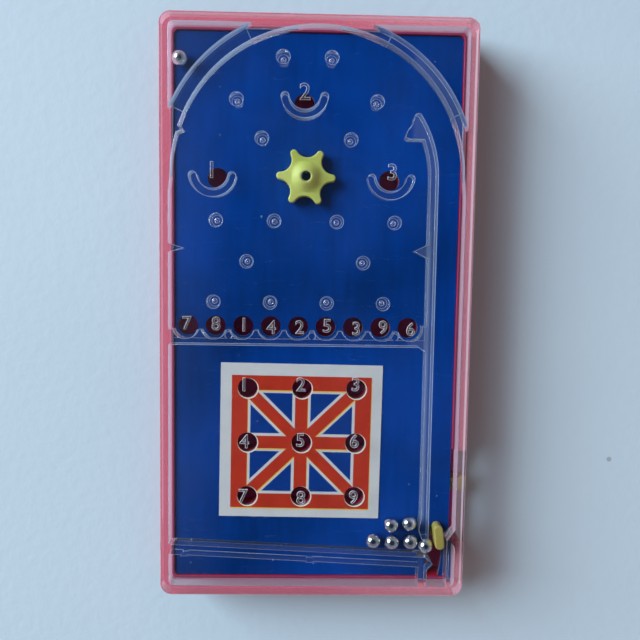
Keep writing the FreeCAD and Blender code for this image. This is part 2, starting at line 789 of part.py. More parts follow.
def hole_ledge():
    """Scalloped wall under the row of holes, on a straight bar, with three round bosses."""
    low, height = hanging()
    step_low, step_height = hanging("wall_clearance + step_height")
    left, right = f"-{INNER_X} - 0.5", f"{DIVIDER_LEFT} + 0.5"
    bottom = f"({ROW_Y} - ledge_drop)"
    bar = box("ledge_bar", (left, bottom, low), (right, f"{bottom} + ledge_bar", PLATE_UNDER))
    teeth = box("ledge_teeth", (left, f"{bottom} + ledge_bar / 2", step_low),
                (right, f"{ROW_Y} - scallop_peak", PLATE_UNDER))
    shoulder_x = row_hole(8)[0]
    shoulder = box("ledge_shoulder", (shoulder_x, f"{bottom} + ledge_bar / 2", step_low),
                   (right, f"{ROW_Y} + scallop_peak", PLATE_UNDER))
    scallops = []
    for i in range(9):
        x, y = row_hole(i)
        scallops.append(cylinder(f"scallop_{i}", x, y, step_low, "scallop_radius", step_height))
    webs = cut("ledge_webs", fuse("ledge_blank", [teeth, shoulder]), fuse("scallops", scallops))
    gusset = outline_prism("ledge_gusset", [
        (f"{DIVIDER_LEFT} - 1.9", f"{bottom} + 0.2"),
        (f"{DIVIDER_LEFT} - 0.7", f"{bottom} - 0.75"),
        (f"{DIVIDER_LEFT} + 0.3", f"{bottom} - 1.2"),
        (f"{DIVIDER_LEFT} + 0.3", f"{bottom} + 0.2"),
    ], low, height)
    bosses = []
    for i in (1, 4, 7):
        bosses.append(cylinder(f"ledge_boss_{i}", f"{row_hole(i)[0]} + {ROW_PITCH} / 2",
                               f"{ROW_Y} - boss_drop", low, "boss_diameter / 2", height))
    return [bar, webs, gusset] + bosses


def ball_rail():
    """Sloping rail that leads the balls right, its nose beside the seat, and the lane's rib."""
    low, height = hanging()
    left = f"(-{INNER_X} - 0.5)"
    end_wall = f"({FOOT_Y} - 0.5)"
    post_right = f"({LANE_LEFT} - 0.2)"
    post_left = f"({post_right} - post_thickness)"
    nose_y = f"({RAIL_RIGHT_Y} - nose_fall)"
    rail = outline_prism("ball_rail", [
        (left, RAIL_LEFT_Y),
        (left, f"{RAIL_LEFT_Y} - rail_thickness"),
        (post_left, f"{RAIL_RIGHT_Y} - rail_thickness"),
        (post_left, end_wall),
        (post_right, end_wall),
        (post_right, f"{nose_y} - 1.5"),
        (f"{post_right} + 0.15", f"{nose_y} - 1.3"),
        (f"{LANE_LEFT} + nose_reach", nose_y),
        (f"{LANE_LEFT} - 0.6", RAIL_RIGHT_Y),
    ], low, height)
    ties = []
    for name, x in (("left", f"(3.5 - {INNER_X})"), ("right", PIVOT_X)):
        top = f"({RAIL_LEFT_Y} - rail_fall * ({x} + {INNER_X}) / ({LANE_LEFT} + {INNER_X}))"
        ties.append(box(f"rail_tie_{name}", (f"{x} - 0.7", f"{top} - rail_thickness - 0.3", low),
                        (f"{x} + 0.7", f"{top} - 0.3", PLATE_UNDER)))
    front = f"({INNER_X} - side_rib_depth)"
    back = f"({front} + side_rib_thickness)"
    top = f"({FOOT_Y} + side_rib_rise)"
    rib = outline_prism("side_rib", [
        (f"{INNER_X} + 0.5", f"{top} + 2.4"),
        (INNER_X, f"{top} + 2.4"),
        (front, top),
        (front, end_wall),
        (back, end_wall),
        (back, f"{top} - 0.6"),
        (INNER_X, f"{top} - 1.8"),
        (f"{INNER_X} + 0.5", f"{top} - 1.8"),
    ], low, height)
    return [rail, rib] + ties


def pin_places():
    """Centres of the sixteen pins, row by row from the arch down."""
    rows = (
        ("pin_row_a_half", f"{ARCH_Y} + pin_row_a_rise"),
        ("pin_row_b_half", f"{ARCH_Y} + pin_row_b_rise"),
        ("pin_row_c_half", f"{ARCH_Y} + pin_row_c_rise"),
        ("pin_row_d_half", f"{ARCH_Y} - pin_row_d_drop"),
        ("pin_row_d_outer", f"{ARCH_Y} - pin_row_d_drop"),
        ("pin_row_e_half", f"{ARCH_Y} - pin_row_e_drop"),
    )
    places = [(f"{FIELD_X} + {side} * {half}", y) for half, y in rows for side in (-1, 1)]
    places += [(row_hole(i)[0], f"{ROW_Y} + pin_row_f_gap") for i in (1, 3, 5, 7)]
    return places


def cover_pins():
    """Tapered pins with a dimple in the free end."""
    low, height = hanging()
    pins, dimples = [], []
    for i, (x, y) in enumerate(pin_places()):
        pins.append(cone(f"pin_{i}", x, y, low, "pin_tip_diameter / 2", "pin_diameter / 2",
                         height))
        dimples.append(cone(f"dimple_{i}", x, y, low, "pin_dimple_diameter / 2", "0",
                            "pin_dimple_depth"))
    return pins, dimples


def star_spindle():
    """The pin that the star turns on."""
    low, height = hanging()
    return cylinder("star_spindle", FIELD_X, ARCH_Y, low, "spindle_diameter / 2", height)


def lip_rebate():
    """Room round the cover's inside for the tray's lip."""
    z = f"({BOARD_TOP} - 0.5)"
    height = "(lip_height + lip_clearance + 0.5)"
    outer = outline_prism("rebate_outer",
                          rounded(INNER_X, INNER_Y, "inner_corner_radius"), z, height)
    inner = outline_prism("rebate_inner",
                          rounded(f"({LIP_X} - lip_clearance)", f"({LIP_Y} - lip_clearance)",
                                  "inner_corner_radius"), z, height)
    return cut("lip_rebate", outer, inner)


def clear_cover():
    """The whole clear moulding."""
    pins, dimples = cover_pins()
    walls = [lane_divider(), star_spindle()]
    walls += arch_track() + spikes() + cup_walls() + hole_ledge() + ball_rail() + pins
    solid = fuse("cover_solid", [cover_shell()] + walls)
    return cut("clear_cover", solid, fuse("cover_cuts", [lip_rebate()] + dimples))


# Star

def star_outline():
    """Six round tips joined by hollow curves, each curve touching its two tips."""
    tip_centre = "(star_tip_radius - star_tip_rounding)"
    lean = f"{tip_centre} * cos(30)"
    hollow = (f"((star_valley_radius^2 + {tip_centre}^2 - 2 * star_valley_radius * {lean}"
              f" - star_tip_rounding^2) / (2 * ({lean} + star_tip_rounding"
              " - star_valley_radius)))")
    far = f"(star_valley_radius + {hollow})"
    share = f"(star_tip_rounding / ({hollow} + star_tip_rounding))"
    corners = []
    for i in range(6):
        angle = f"({60 * i} + star_turn)"
        tip = rim(angle, tip_centre)
        before = rim(f"({angle} - 30)", far)
        after = rim(f"({angle} + 30)", far)
        touch_before = [f"({a} + ({b} - {a}) * {share})" for a, b in zip(tip, before)]
        touch_after = [f"({a} + ({b} - {a}) * {share})" for a, b in zip(tip, after)]
        corners.append((*touch_before, "star_tip_rounding", 1))
        corners.append((*touch_after, hollow, -1))
    return corners


def star_spinner():
    """The yellow star with a raised cone round its bore."""
    low = f"({BOARD_TOP} + star_lift)"
    star = doc.addObject("PartDesign::Body", "star_plate")
    outline = body_sketch(star, "star_outline", "0")
    draw(outline, star_outline())
    pad(star, outline, "star_thickness")
    place(star, FIELD_X, ARCH_Y, low)
    hub = cone("star_hub", FIELD_X, ARCH_Y, f"{low} + star_thickness",
               "star_hub_radius", "star_hub_top_radius", "star_hub_height")
    bore = cylinder("star_bore", FIELD_X, ARCH_Y, f"{low} - 1",
                    "spindle_diameter / 2 + spindle_clearance",
                    "star_thickness + star_hub_height + 2")
    return cut("star_spinner", fuse("star_solid", [star, hub]), bore)


# Launcher

def lever_peg():
    """Centre of the peg on the lever's arm that the spring's leg pushes."""
    return rim("tab_angle", "lever_peg_radius", *PIVOT)


def tray_peg():
    """Centre of the peg on the tray's floor that the spring's other leg rests on."""
    return rim("tray_peg_angle", "tray_peg_radius", *PIVOT)


def along_arm(distance, offset):
    """A point beside the middle line of the lever's arm."""
    x, y = rim("tab_angle", distance, *PIVOT)
    return f"({x} - ({offset}) * sin(tab_angle))", f"({y} + ({offset}) * cos(tab_angle))"


def crank_arc(half_angle):
    """The line of a bent piece about the hammer's place on the crank circle."""
    return [
        (*rim(f"(hammer_angle - {half_angle})", "crank_radius", *PIVOT), "crank_radius", 1),
        rim(f"(hammer_angle + {half_angle})", "crank_radius", *PIVOT),
    ]


def launcher_lever():
    """Hub, arm, crank, stem and hammer, and the thumb tab that sticks out of the notch."""
    hub_low = "(floor_thickness + lever_lift)"
    hub = cylinder("lever_hub", *PIVOT, hub_low, "hub_diameter / 2", "hub_height")
    tab_end = f"(({HALF_WIDTH} + tab_reach - {PIVOT_X}) / cos(tab_angle))"
    arm = outline_prism("lever_arm", [
        along_arm("0", "-arm_root_width / 2"),
        along_arm("crank_radius", "-arm_width / 2"),
        along_arm(tab_end, "-arm_width / 2"),
        along_arm(tab_end, "arm_width / 2"),
        along_arm("crank_radius", "arm_width / 2"),
        along_arm("0", "arm_root_width / 2"),
    ], ARM_LOW, "arm_thickness")
    tab_start = f"(({INNER_X} - {PIVOT_X}) / cos(tab_angle))"
    tab = outline_prism("thumb_tab", [
        along_arm(tab_start, "-tab_width / 2"),
        along_arm(tab_end, "-tab_width / 2"),
        along_arm(tab_end, "tab_width / 2"),
        along_arm(tab_start, "tab_width / 2"),
    ], hub_low, "channel_depth - lever_lift - tab_headroom")
    inner, outer = "(crank_radius - crank_width / 2)", "(crank_radius + crank_width / 2)"
    crank_start = f"(hammer_angle - {arcsine('stem_length / 2 / crank_radius')})"
    crank = outline_prism("lever_crank", [
        rim(crank_start, inner, *PIVOT),
        (*rim(crank_start, outer, *PIVOT), outer, 1),
        rim("tab_angle", outer, *PIVOT),
        (*rim("tab_angle", inner, *PIVOT), inner, -1),
    ], ARM_LOW, "arm_thickness")
    hammer_low = f"({BOARD_TOP} + hammer_lift)"
    stem_half = arcsine("(stem_length - stem_width) / 2 / crank_radius")
    stem = stroke("hammer_stem", crank_arc(stem_half), "stem_width", ARM_TOP,
                  f"({hammer_low} - {ARM_TOP})")
    hammer_half = arcsine("(hammer_length - hammer_width) / 2 / crank_radius")
    hammer = stroke("hammer", crank_arc(hammer_half), "hammer_width", hammer_low,
                    "play_height - hammer_lift - hammer_headroom")
    peg = cylinder("lever_peg", *lever_peg(), f"({ARM_LOW} + arm_thickness / 2)",
                   "peg_diameter / 2", f"({BOARD_UNDER} - {ARM_LOW} - arm_thickness / 2 - 0.35)")
    bore = cylinder("lever_bore", *PIVOT, f"{hub_low} - 1",
                    "pivot_diameter / 2 + pivot_clearance", "hub_height + 2")
    solid = fuse("lever_solid", [hub, arm, tab, crank, stem, hammer, peg])
    return cut("launcher_lever", solid, bore)


def launcher_spring():
    """Hairpin of round wire bent round the pivot post, a leg on each peg."""
    loop = "(pivot_diameter / 2 + spring_clearance + wire_diameter / 2)"
    miss = f"({loop} + peg_diameter / 2 + wire_diameter / 2 + leg_clearance)"
    # each leg leaves the loop at a tangent and passes just inside its peg
    upper_lean = f"(tab_angle - {arcsine(miss + ' / lever_peg_radius')})"
    lower_lean = f"(tray_peg_angle + {arcsine(miss + ' / tray_peg_radius')})"
    upper_start = rim(f"({upper_lean} + 90)", loop, *PIVOT)
    lower_start = rim(f"({lower_lean} - 90)", loop, *PIVOT)
    middle = rim(f"(({upper_lean} + {lower_lean}) / 2 + 180)", loop, *PIVOT)
    upper_tip = rim(upper_lean, "lever_peg_radius + leg_overhang", *upper_start)
    lower_tip = rim(lower_lean, "tray_peg_radius + leg_overhang", *lower_start)
    level = f"(({ARM_TOP} + {BOARD_UNDER}) / 2)"
    line = loose_sketch("spring_line", level)
    draw(line, [
        upper_tip,
        (*upper_start, loop, 1),
        (*middle, loop, 1),
        lower_start,
        lower_tip,
    ], closed=False)
    section = doc.addObject("Part::Circle", "wire_section")
    bind(section, Radius="wire_diameter / 2")
    # the circle stands at the upper leg's tip and faces along the leg
    section.Placement = FreeCAD.Placement(Vector(0, 0, 0), Rotation(Vector(0, 1, 0), 90))
    place(section, *upper_tip, level)
    section.Placement.Rotation = Rotation(Vector(0, 0, 1), number(upper_lean)) * Rotation(
        Vector(0, 1, 0), 90
    )
    doc.recompute()
    spring = doc.addObject("Part::Sweep", "launcher_spring")
    spring.Sections = [section]
    spring.Spine = (line, [f"Edge{i}" for i in range(1, 5)])
    spring.Solid = True
    spring.Frenet = False
    return spring


# Balls

def steel_balls():
    """Seven loose balls resting on the board."""
    balls = []
    for name, (x, y) in BALLS.items():
        ball = doc.addObject("Part::Sphere", name)
        place(ball, x, y, f"({BOARD_TOP} + ball_diameter / 2 + ball_lift)")
        balls.append(bind(ball, Radius="ball_diameter / 2"))
    return balls


def write_parts(parts):
    """Check every object of the document, then write one file for each piece."""
    doc.recompute()
    for item in doc.Objects:
        if "Invalid" in item.State or "Error" in item.State:
            raise RuntimeError(f"{item.Name} did not build: {item.State}")
    os.makedirs("parts", exist_ok=True)
    for name, item in parts.items():
        item.Label = name
        shape = item.Shape
        if shape.isNull() or not shape.isValid() or len(shape.Solids) != 1:
            raise RuntimeError(f"{name} is not one valid solid")
        shape.exportStep(os.path.join("parts", name + ".step"))
        print(f"{name}: {shape.Volume:.1f} mm3, {len(shape.Faces)} faces")


parts = {
    "base_tray": base_tray(),
    "playfield_board": playfield_board(),
    "grid_label": grid_label(),
    "clear_cover": clear_cover(),
    "star_spinner": star_spinner(),
    "launcher_lever": launcher_lever(),
    "launcher_spring": launcher_spring(),
}
parts.update({ball.Name: ball for ball in steel_balls()})
write_parts(parts)
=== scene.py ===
import math
from types import SimpleNamespace

import bmesh
import bpy
import numpy as np
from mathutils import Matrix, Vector
from mathutils.geometry import tessellate_polygon


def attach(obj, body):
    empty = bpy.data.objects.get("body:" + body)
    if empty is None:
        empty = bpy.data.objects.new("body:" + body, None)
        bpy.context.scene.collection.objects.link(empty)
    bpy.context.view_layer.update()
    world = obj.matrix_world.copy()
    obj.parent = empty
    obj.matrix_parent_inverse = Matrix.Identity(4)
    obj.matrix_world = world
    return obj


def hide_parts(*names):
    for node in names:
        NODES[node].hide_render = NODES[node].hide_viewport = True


# Pocket ball game: red tray, blue board with a printed square, and a clear cover with everything
# moulded into it. Lengths here are in millimetres and are turned into metres by MM.

MM = 0.001

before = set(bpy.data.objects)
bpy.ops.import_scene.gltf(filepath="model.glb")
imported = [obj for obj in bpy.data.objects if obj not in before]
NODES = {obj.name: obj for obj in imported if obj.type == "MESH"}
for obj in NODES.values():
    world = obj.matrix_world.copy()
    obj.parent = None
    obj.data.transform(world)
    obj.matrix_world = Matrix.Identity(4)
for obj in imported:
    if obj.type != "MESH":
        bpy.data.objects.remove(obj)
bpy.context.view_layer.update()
BALLS = [f"ball_{i}" for i in range(1, 8)]

# Heights of the case: the tray's floor, the seam where the cover's foot stands on the tray's rim,
# the tray's lip inside that foot, and the underside and the top of the cover's plate. Then the
# distances from the middle past which a face belongs to the outer walls, or to the skin of those
# walls, and the middle of the wall that divides the launch lane from the field.
FLOOR_TOP = 1.6
SEAM = 6.8
LIP_TOP = 7.3
PLATE_UNDER = 11.2
PLATE_TOP = 13.0
WALLS_FROM = (31.95, 61.45)
SKIN_FROM = (33.9, 63.4)
DIVIDER_X = 24.9

# The printed square: its middle and turn, and half the width and height of the red print and of
# the fields inside its frame. Then half the widths of the cross and of the diagonals, and the
# width of the white edge round each blue field.
LABEL_MIDDLE = (-2.99, -29.85)
LABEL_TURN = -0.53
PRINT_HALF = (15.88, 15.35)
FIELD_HALF = (12.2, 12.0)
CROSS_HALF = 1.45
DIAGONAL_HALF = 1.3
WHITE_EDGE = 0.62

# The three by three windows in the print: their middle, their pitch and how far from a window's
# shifted centre the paper's painted highlight crescent reaches.
GRID_MIDDLE = (-2.86, -29.84)
GRID_PITCH = (12.31, 12.51)
WINDOW_EDGE = 2.38

# A face is level when its normal's upright part is more than the first of these, and steep when
# it is less than the second. An outline shorter than the third goes round a pin, whose sides lie
# within the fourth of its middle.
LEVEL = 0.9995
STEEP = 0.8
PIN_OUTLINE = 8.0
PIN_REACH = 2.2

# Raised numbers: what each says and the middle of its place on the cover's inside.
ROW_NUMBERS = [
    ("7", -28.15, -2.35), ("8", -21.84, -2.39), ("1", -15.75, -2.57), ("4", -9.77, -3.04),
    ("2", -3.53, -2.95), ("5", 2.46, -2.58), ("3", 8.89, -3.09), ("9", 14.81, -2.75),
    ("6", 20.91, -3.06),
]
GRID_NUMBERS = [
    ("1", -15.66, -15.79), ("2", -3.09, -15.64), ("3", 9.01, -15.49),
    ("4", -15.48, -28.59), ("5", -3.06, -28.19), ("6", 8.99, -28.31),
    ("7", -15.62, -41.01), ("8", -2.75, -41.32), ("9", 9.0, -41.15),
]
CUP_NUMBERS = [("1", -22.9, 30.8), ("2", -3.03, 47.66), ("3", 16.05, 31.0)]


# Shapes

def new_piece(name, data, body):
    """A finished piece at the origin that rides on a body and takes its finish from a slot."""
    piece = bpy.data.objects.new(name, data)
    bpy.context.scene.collection.objects.link(piece)
    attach(piece, body)
    return piece


def level_groups(shape):
    """Groups of touching faces that are level and look the same way, up or down.

    A group is a dictionary with its faces as keys, which keeps them in the same order each run.
    """
    seen, groups = set(), []
    for first in shape.faces:
        if first in seen or abs(first.normal.z) < LEVEL:
            continue
        sign = 1 if first.normal.z > 0 else -1
        seen.add(first)
        group, queue = {}, [first]
        while queue:
            face = queue.pop()
            group[face] = True
            for edge in face.edges:
                for other in edge.link_faces:
                    if other not in seen and other.normal.z * sign > LEVEL:
                        seen.add(other)
                        queue.append(other)
        groups.append(group)
    return groups


def outlines(group):
    """The closed outlines of a group of faces, each a list of face corners in order."""
    after = {}
    for face in group:
        for loop in face.loops:
            if sum(other in group for other in loop.edge.link_faces) == 1:
                after.setdefault(loop.vert, []).append(loop)
    found = []
    while after:
        spot = next(iter(after))
        path = []
        while spot in after:
            loop = after[spot].pop()
            if not after[spot]:
                del after[spot]
            path.append(loop)
            spot = loop.link_loop_next.vert
        found.append(path)
    return found


def inward_ways(corners, up):
    """Which way each corner of an outline moves as its edges move in, and how far it may.

    The way is the sum of the two inward directions over one plus their product, so that both
    edges move by one length; at sharp points that divisor is held at 0.12. The room is four
    fifths of the length at which the shorter of the corner's edges would shrink to nothing.
    """
    ahead = np.roll(corners, -1, 0) - corners
    length = np.linalg.norm(ahead, axis=1)
    ahead /= length[:, None]
    inward = np.cross((0.0, 0.0, up), ahead)
    before = np.roll(inward, 1, 0)
    way = (inward + before) / np.maximum(1 + (inward * before).sum(1), 0.12)[:, None]
    shrink = np.maximum(((way - np.roll(way, -1, 0)) * ahead).sum(1), 1e-6)
    room = 0.8 * length / shrink
    return way, np.minimum(room, np.roll(room, 1))


def clear_reach(corners, way, starts, ends):
    """How far each corner can go its way before it meets an edge that it doesn't touch."""
    reach = np.ones(len(corners))
    edge = ends - starts
    for i, (corner, step) in enumerate(zip(corners, way)):
        cross = step[0] * edge[:, 1] - step[1] * edge[:, 0]
        cross = np.where(abs(cross) < 1e-12, 1e-12, cross)
        gap = starts - corner
        far = (gap[:, 0] * edge[:, 1] - gap[:, 1] * edge[:, 0]) / cross
        along = (gap[:, 0] * step[1] - gap[:, 1] * step[0]) / cross
        away = (abs(gap).max(1) > 1e-9) & (abs(ends - corner).max(1) > 1e-9)
        hit = away & (far > 1e-9) & (along > -0.001) & (along < 1.001)
        reach[i] = min(far[hit].min(initial=1.0), 1.0)
    return reach


def side_falls(group, path):
    """For each edge of an outline: whether its side is steep, and the way down that side."""
    steep, falls = [], []
    for loop in path:
        side = next(face for face in loop.edge.link_faces if face not in group)
        start, end = loop.vert.co, loop.link_loop_next.vert.co
        fall = side.normal.cross(end - start).normalized()
        if fall.dot(side.calc_center_median() - (start + end) / 2) < 0:
            fall.negate()
        steep.append(abs(side.normal.z) < STEEP)
        falls.append(fall)
    return np.array(steep), np.array(falls)


def rim_rows(shape, group, up, radius, steps):
    """Rows of points from the side of each outline of a level face to its moved-in edge.

    A row at angle a lies in by the radius times (1 - cos a) and down by the radius times
    (1 - sin a). Where the face is narrow, the radius shrinks to 0.35 of the way across it, and
    it is nothing at corners whose sides aren't steep.
    """
    paths = outlines(group)
    flat = [np.array([loop.vert.co for loop in path]) for path in paths]
    starts = np.vstack(flat)[:, :2]
    ends = np.vstack([np.roll(part, -1, 0) for part in flat])[:, :2]
    sets, falls = [], {}
    for path, corners in zip(paths, flat):
        way, room = inward_ways(corners, up)
        steep, down = side_falls(group, path)
        kept = steep & np.roll(steep, 1)
        down = down + np.roll(down, 1, 0)
        down /= np.maximum(np.linalg.norm(down, axis=1), 1e-9)[:, None]
        reach = clear_reach(corners[:, :2], way[:, :2], starts, ends)
        size = (np.minimum(np.minimum(radius, room), 0.35 * reach) * kept)[:, None]
        rows = [[loop.vert for loop in path]]
        for k in range(1, steps + 1):
            angle = math.pi / 2 * k / steps
            spots = corners + size * (way * (1 - math.cos(angle)) + down * (1 - math.sin(angle)))
            rows.append([shape.verts.new(spot) if held else vert
                         for spot, held, vert in zip(spots, kept, rows[0])])
        falls.update({vert: corner + fall * length for vert, corner, fall, length, held
                      in zip(rows[0], corners, down, size, kept) if held})
        sets.append(rows)
    return sets, falls


def fill_face(shape, sets, up):
    """Triangles over the moved-in outlines of a level face."""
    every = [vert for rows in sets for vert in rows[-1]]
    for corner in tessellate_polygon([[vert.co for vert in rows[-1]] for rows in sets]):
        first, second, third = (every[i] for i in corner)
        if (second.co - first.co).cross(third.co - first.co).z * up < 0:
            second, third = third, second
        shape.faces.new((first, second, third))


def mark_sides(outline, middle, rim):
    """Mark the steep faces that run from a pin's outline, near its middle, as the pin's sides."""
    queue = [face for vert in outline for face in vert.link_faces]
    while queue:
        side = queue.pop()
        across = side.calc_center_median() - Vector(middle)
        near = across.xy.length < PIN_REACH * MM
        if side[rim] == 0.0 and abs(side.normal.z) < STEEP and near:
            side[rim] = -1.0
            queue += [other for edge in side.edges for other in edge.link_faces]


def rounded_mesh(source, name, radius, steps):
    """A solid's mesh with its doubles merged and the outlines of its level faces rounded.

    The faces at the seam, where the cover's foot stands on the tray's rim, stay sharp.
    The face attribute "rim" is 1 on the rounding, 0.7 on the rounding of pins and of outlines as
    short as theirs, -1 on the sides that run up to those outlines, and 0 elsewhere.
    """
    shape = bmesh.new()
    shape.from_mesh(source)
    bmesh.ops.remove_doubles(shape, verts=shape.verts, dist=2e-6)
    rim = shape.faces.layers.float.new("rim")
    work, old, falls = [], [], {}
    for group in level_groups(shape):
        first = next(iter(group))
        if abs(first.calc_center_median().z - SEAM * MM) < 0.05 * MM:
            continue
        up = 1.0 if first.normal.z > 0 else -1.0
        sets, moved = rim_rows(shape, group, up, radius, steps)
        work.append((sets, up))
        old += list(group)
        falls.update(moved)
    bmesh.ops.delete(shape, geom=old, context="FACES")
    for vert, spot in falls.items():
        vert.co = spot
    for sets, up in work:
        fill_face(shape, sets, up)
        for rows in sets:
            flat = np.array([vert.co for vert in rows[0]])
            length = np.linalg.norm(np.roll(flat, -1, 0) - flat, axis=1).sum()
            shine = 1.0
            if length < PIN_OUTLINE * MM:
                shine = 0.7
                mark_sides(rows[0], flat.mean(0), rim)
            for low, high in zip(rows, rows[1:]):
                for i in range(len(low)):
                    j = (i + 1) % len(low)
                    ring = list(dict.fromkeys((low[i], low[j], high[j], high[i])))
                    if len(ring) > 2:
                        shape.faces.new(ring)[rim] = shine
    data = bpy.data.meshes.new(name)
    shape.to_mesh(data)
    shape.free()
    return data


def soft_normals(data, angle):
    """Set each face corner's normal to the mean of the faces round its point, by their area.

    Only faces turned less than the angle from the corner's own face count, so that large flat
    faces stay flat and roundings run smoothly into them.
    """
    count = len(data.loops)
    vert = np.empty(count, int)
    data.loops.foreach_get("vertex_index", vert)
    sizes = np.empty(len(data.polygons), int)
    data.polygons.foreach_get("loop_total", sizes)
    face = np.repeat(np.arange(len(sizes)), sizes)
    normal, area = np.empty(len(sizes) * 3), np.empty(len(sizes))
    data.polygons.foreach_get("normal", normal)
    data.polygons.foreach_get("area", area)
    normal = normal.reshape(-1, 3)
    order = np.argsort(vert, kind="stable")
    shared = np.bincount(vert)[vert[order]]
    first_of = np.searchsorted(vert[order], vert[order])
    one = np.repeat(np.arange(count), shared)
    step = np.arange(len(one)) - np.repeat(np.cumsum(shared) - shared, shared)
    own, other = face[order[one]], face[order[first_of[one] + step]]
    near = (normal[own] * normal[other]).sum(1) > math.cos(math.radians(angle))
    weight = normal[other] * (area[other] * near)[:, None]
    total = np.stack([np.bincount(order[one], weight[:, i], count) for i in range(3)], 1)
    size = np.linalg.norm(total, axis=1)
    total = np.where(size[:, None] > 1e-16, total / np.maximum(size, 1e-16)[:, None], normal[face])
    data.polygons.foreach_set("use_smooth", np.ones(len(sizes), bool))
    data.normals_split_custom_set(total.tolist())


def rounded_copy(node, name, body, radius, steps=3):
    """A finished piece made from a solid by rounding the outlines of its level faces."""
    data = rounded_mesh(NODES[node].data, name, radius * MM, steps)
    soft_normals(data, angle=40)
    piece = new_piece(name, data, body)
    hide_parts(node)
    return piece


def digit_shape(digit):
    """The points of one digit, in millimetres, and its faces as lists of points.

    The digit's outline is filled and given a thickness with a rounded edge.
    """
    text = bpy.data.curves.new("digit", "FONT")
    text.body = digit
    text.size = 4.0
    text.extrude = 0.04
    text.bevel_depth = 0.12
    text.bevel_resolution = 1
    text.offset = -0.05
    text.resolution_u = 5
    holder = bpy.data.objects.new("digit", text)
    bpy.context.scene.collection.objects.link(holder)
    bpy.context.view_layer.update()
    filled = bpy.data.meshes.new_from_object(holder)
    shape = bmesh.new()
    shape.from_mesh(filled)
    bmesh.ops.remove_doubles(shape, verts=shape.verts, dist=1e-4)
    bmesh.ops.recalc_face_normals(shape, faces=shape.faces)
    points = np.array([vert.co for vert in shape.verts])
    faces = [[vert.index for vert in face.verts] for face in shape.faces]
    shape.free()
    bpy.data.objects.remove(holder)
    bpy.data.meshes.remove(filled)
    bpy.data.curves.remove(text)
    return points, faces


def raised_numbers(name, places, height):
    """Digits 0.32 mm thick on the underside of the cover's plate, with sloping sides, in one mesh.

    Each digit is scaled to the height about its own middle and moved to its place.
    """
    points, faces, start = [], [], 0
    for digit, x, y in places:
        spots, corners = digit_shape(digit)
        low, high = spots.min(0), spots.max(0)
        scale = height / (high[1] - low[1])
        spots[:, :2] = (spots[:, :2] - (low[:2] + high[:2]) / 2) * scale + (x, y)
        spots[:, 2] += PLATE_UNDER - 0.01 - high[2]
        points.append(spots)
        faces += [[index + start for index in face] for face in corners]
        start += len(spots)
    data = bpy.data.meshes.new(name)
    data.from_pydata((np.vstack(points) * MM).tolist(), [], faces)
    data.validate()
    return new_piece(name, data, "case")


def table_top():
    """A painted table: a level grid of points, closer near the middle, with faint waves.

    Its half side is 1.4 m. The distance of a row from the middle grows with the square of its
    count. The waves are the sum of three crossing sines, 0.004 mm each, and the grid lies 0.05 mm
    below the case.
    """
    count, half_side = 161, 1.4
    along = np.linspace(-1, 1, count)
    spread = half_side * np.sign(along) * along ** 2
    x, y = np.meshgrid(spread, spread)
    wave = np.sin(x * 61 + y * 23) + np.sin(x * 17 - y * 47 + 1) + np.sin(x * 90 + 2)
    z = (-0.05 + 0.004 * wave) * MM
    points = np.stack([x, y, z], -1).reshape(-1, 3)
    index = np.arange(count * count).reshape(count, count)
    faces = np.stack([index[:-1, :-1], index[:-1, 1:], index[1:, 1:], index[1:, :-1]], -1)
    data = bpy.data.meshes.new("table_top")
    data.from_pydata(points.tolist(), [], faces.reshape(-1, 4).tolist())
    data.polygons.foreach_set("use_smooth", np.ones(len(data.polygons), bool))
    piece = bpy.data.objects.new("table_top", data)
    bpy.context.scene.collection.objects.link(piece)
    return piece


# Materials

def linear(red, green, blue):
    """A colour as written on a screen, 0 to 255, as the linear values that the shader takes."""
    parts = np.array([red, green, blue]) / 255
    value = np.where(parts <= 0.04045, parts / 12.92, ((parts + 0.055) / 1.055) ** 2.4)
    return (*value.tolist(), 1.0)


def put(tree, kind, **settings):
    """Add a node: settings that are its properties are set, the rest fill or feed its sockets."""
    node = tree.nodes.new(kind)
    sockets = {}
    for key, value in settings.items():
        if key in node.bl_rna.properties and not key.startswith("in_"):
            setattr(node, key, value)
        else:
            sockets[key] = value
    for key, value in sockets.items():
        name = key.removeprefix("in_")
        place = int(name) if name.isdigit() else name.replace("_", " ")
        feed(tree, node.inputs[place], value)
    return node


def feed(tree, socket, value):
    """Link an output to a socket, or write a plain value on it."""
    if isinstance(value, bpy.types.NodeSocket):
        tree.links.new(value, socket)
    else:
        socket.default_value = value


def maths(tree, operation, *values):
    """One sum on numbers or outputs."""
    node = tree.nodes.new("ShaderNodeMath")
    node.operation = operation
    for socket, value in zip(node.inputs, values):
        feed(tree, socket, value)
    return node.outputs[0]


def product(tree, first, *others):
    """Some numbers or outputs multiplied."""
    for other in others:
        first = maths(tree, "MULTIPLY", first, other)
    return first


def greatest(tree, first, *others):
    """The greatest of some numbers or outputs."""
    for other in others:
        first = maths(tree, "MAXIMUM", first, other)
    return first


def parts_of(tree, vector):
    """The x, y and z parts of a vector."""
    parts = put(tree, "ShaderNodeSeparateXYZ", in_0=vector).outputs
    return parts[0], parts[1], parts[2]


def true_normal(tree):
    """The parts of the way that a surface faces, without its bumps."""
    return parts_of(tree, tree.nodes.new("ShaderNodeNewGeometry").outputs["True Normal"])


def blend(tree, share, low, high):
    """Mix two colours by a share."""
    node = put(tree, "ShaderNodeMix", data_type="RGBA", in_0=share, in_6=low, in_7=high)
    return node.outputs[2]


def blend_number(tree, share, low, high):
    """Mix two numbers by a share."""
    return put(tree, "ShaderNodeMix", in_0=share, in_2=low, in_3=high).outputs[0]


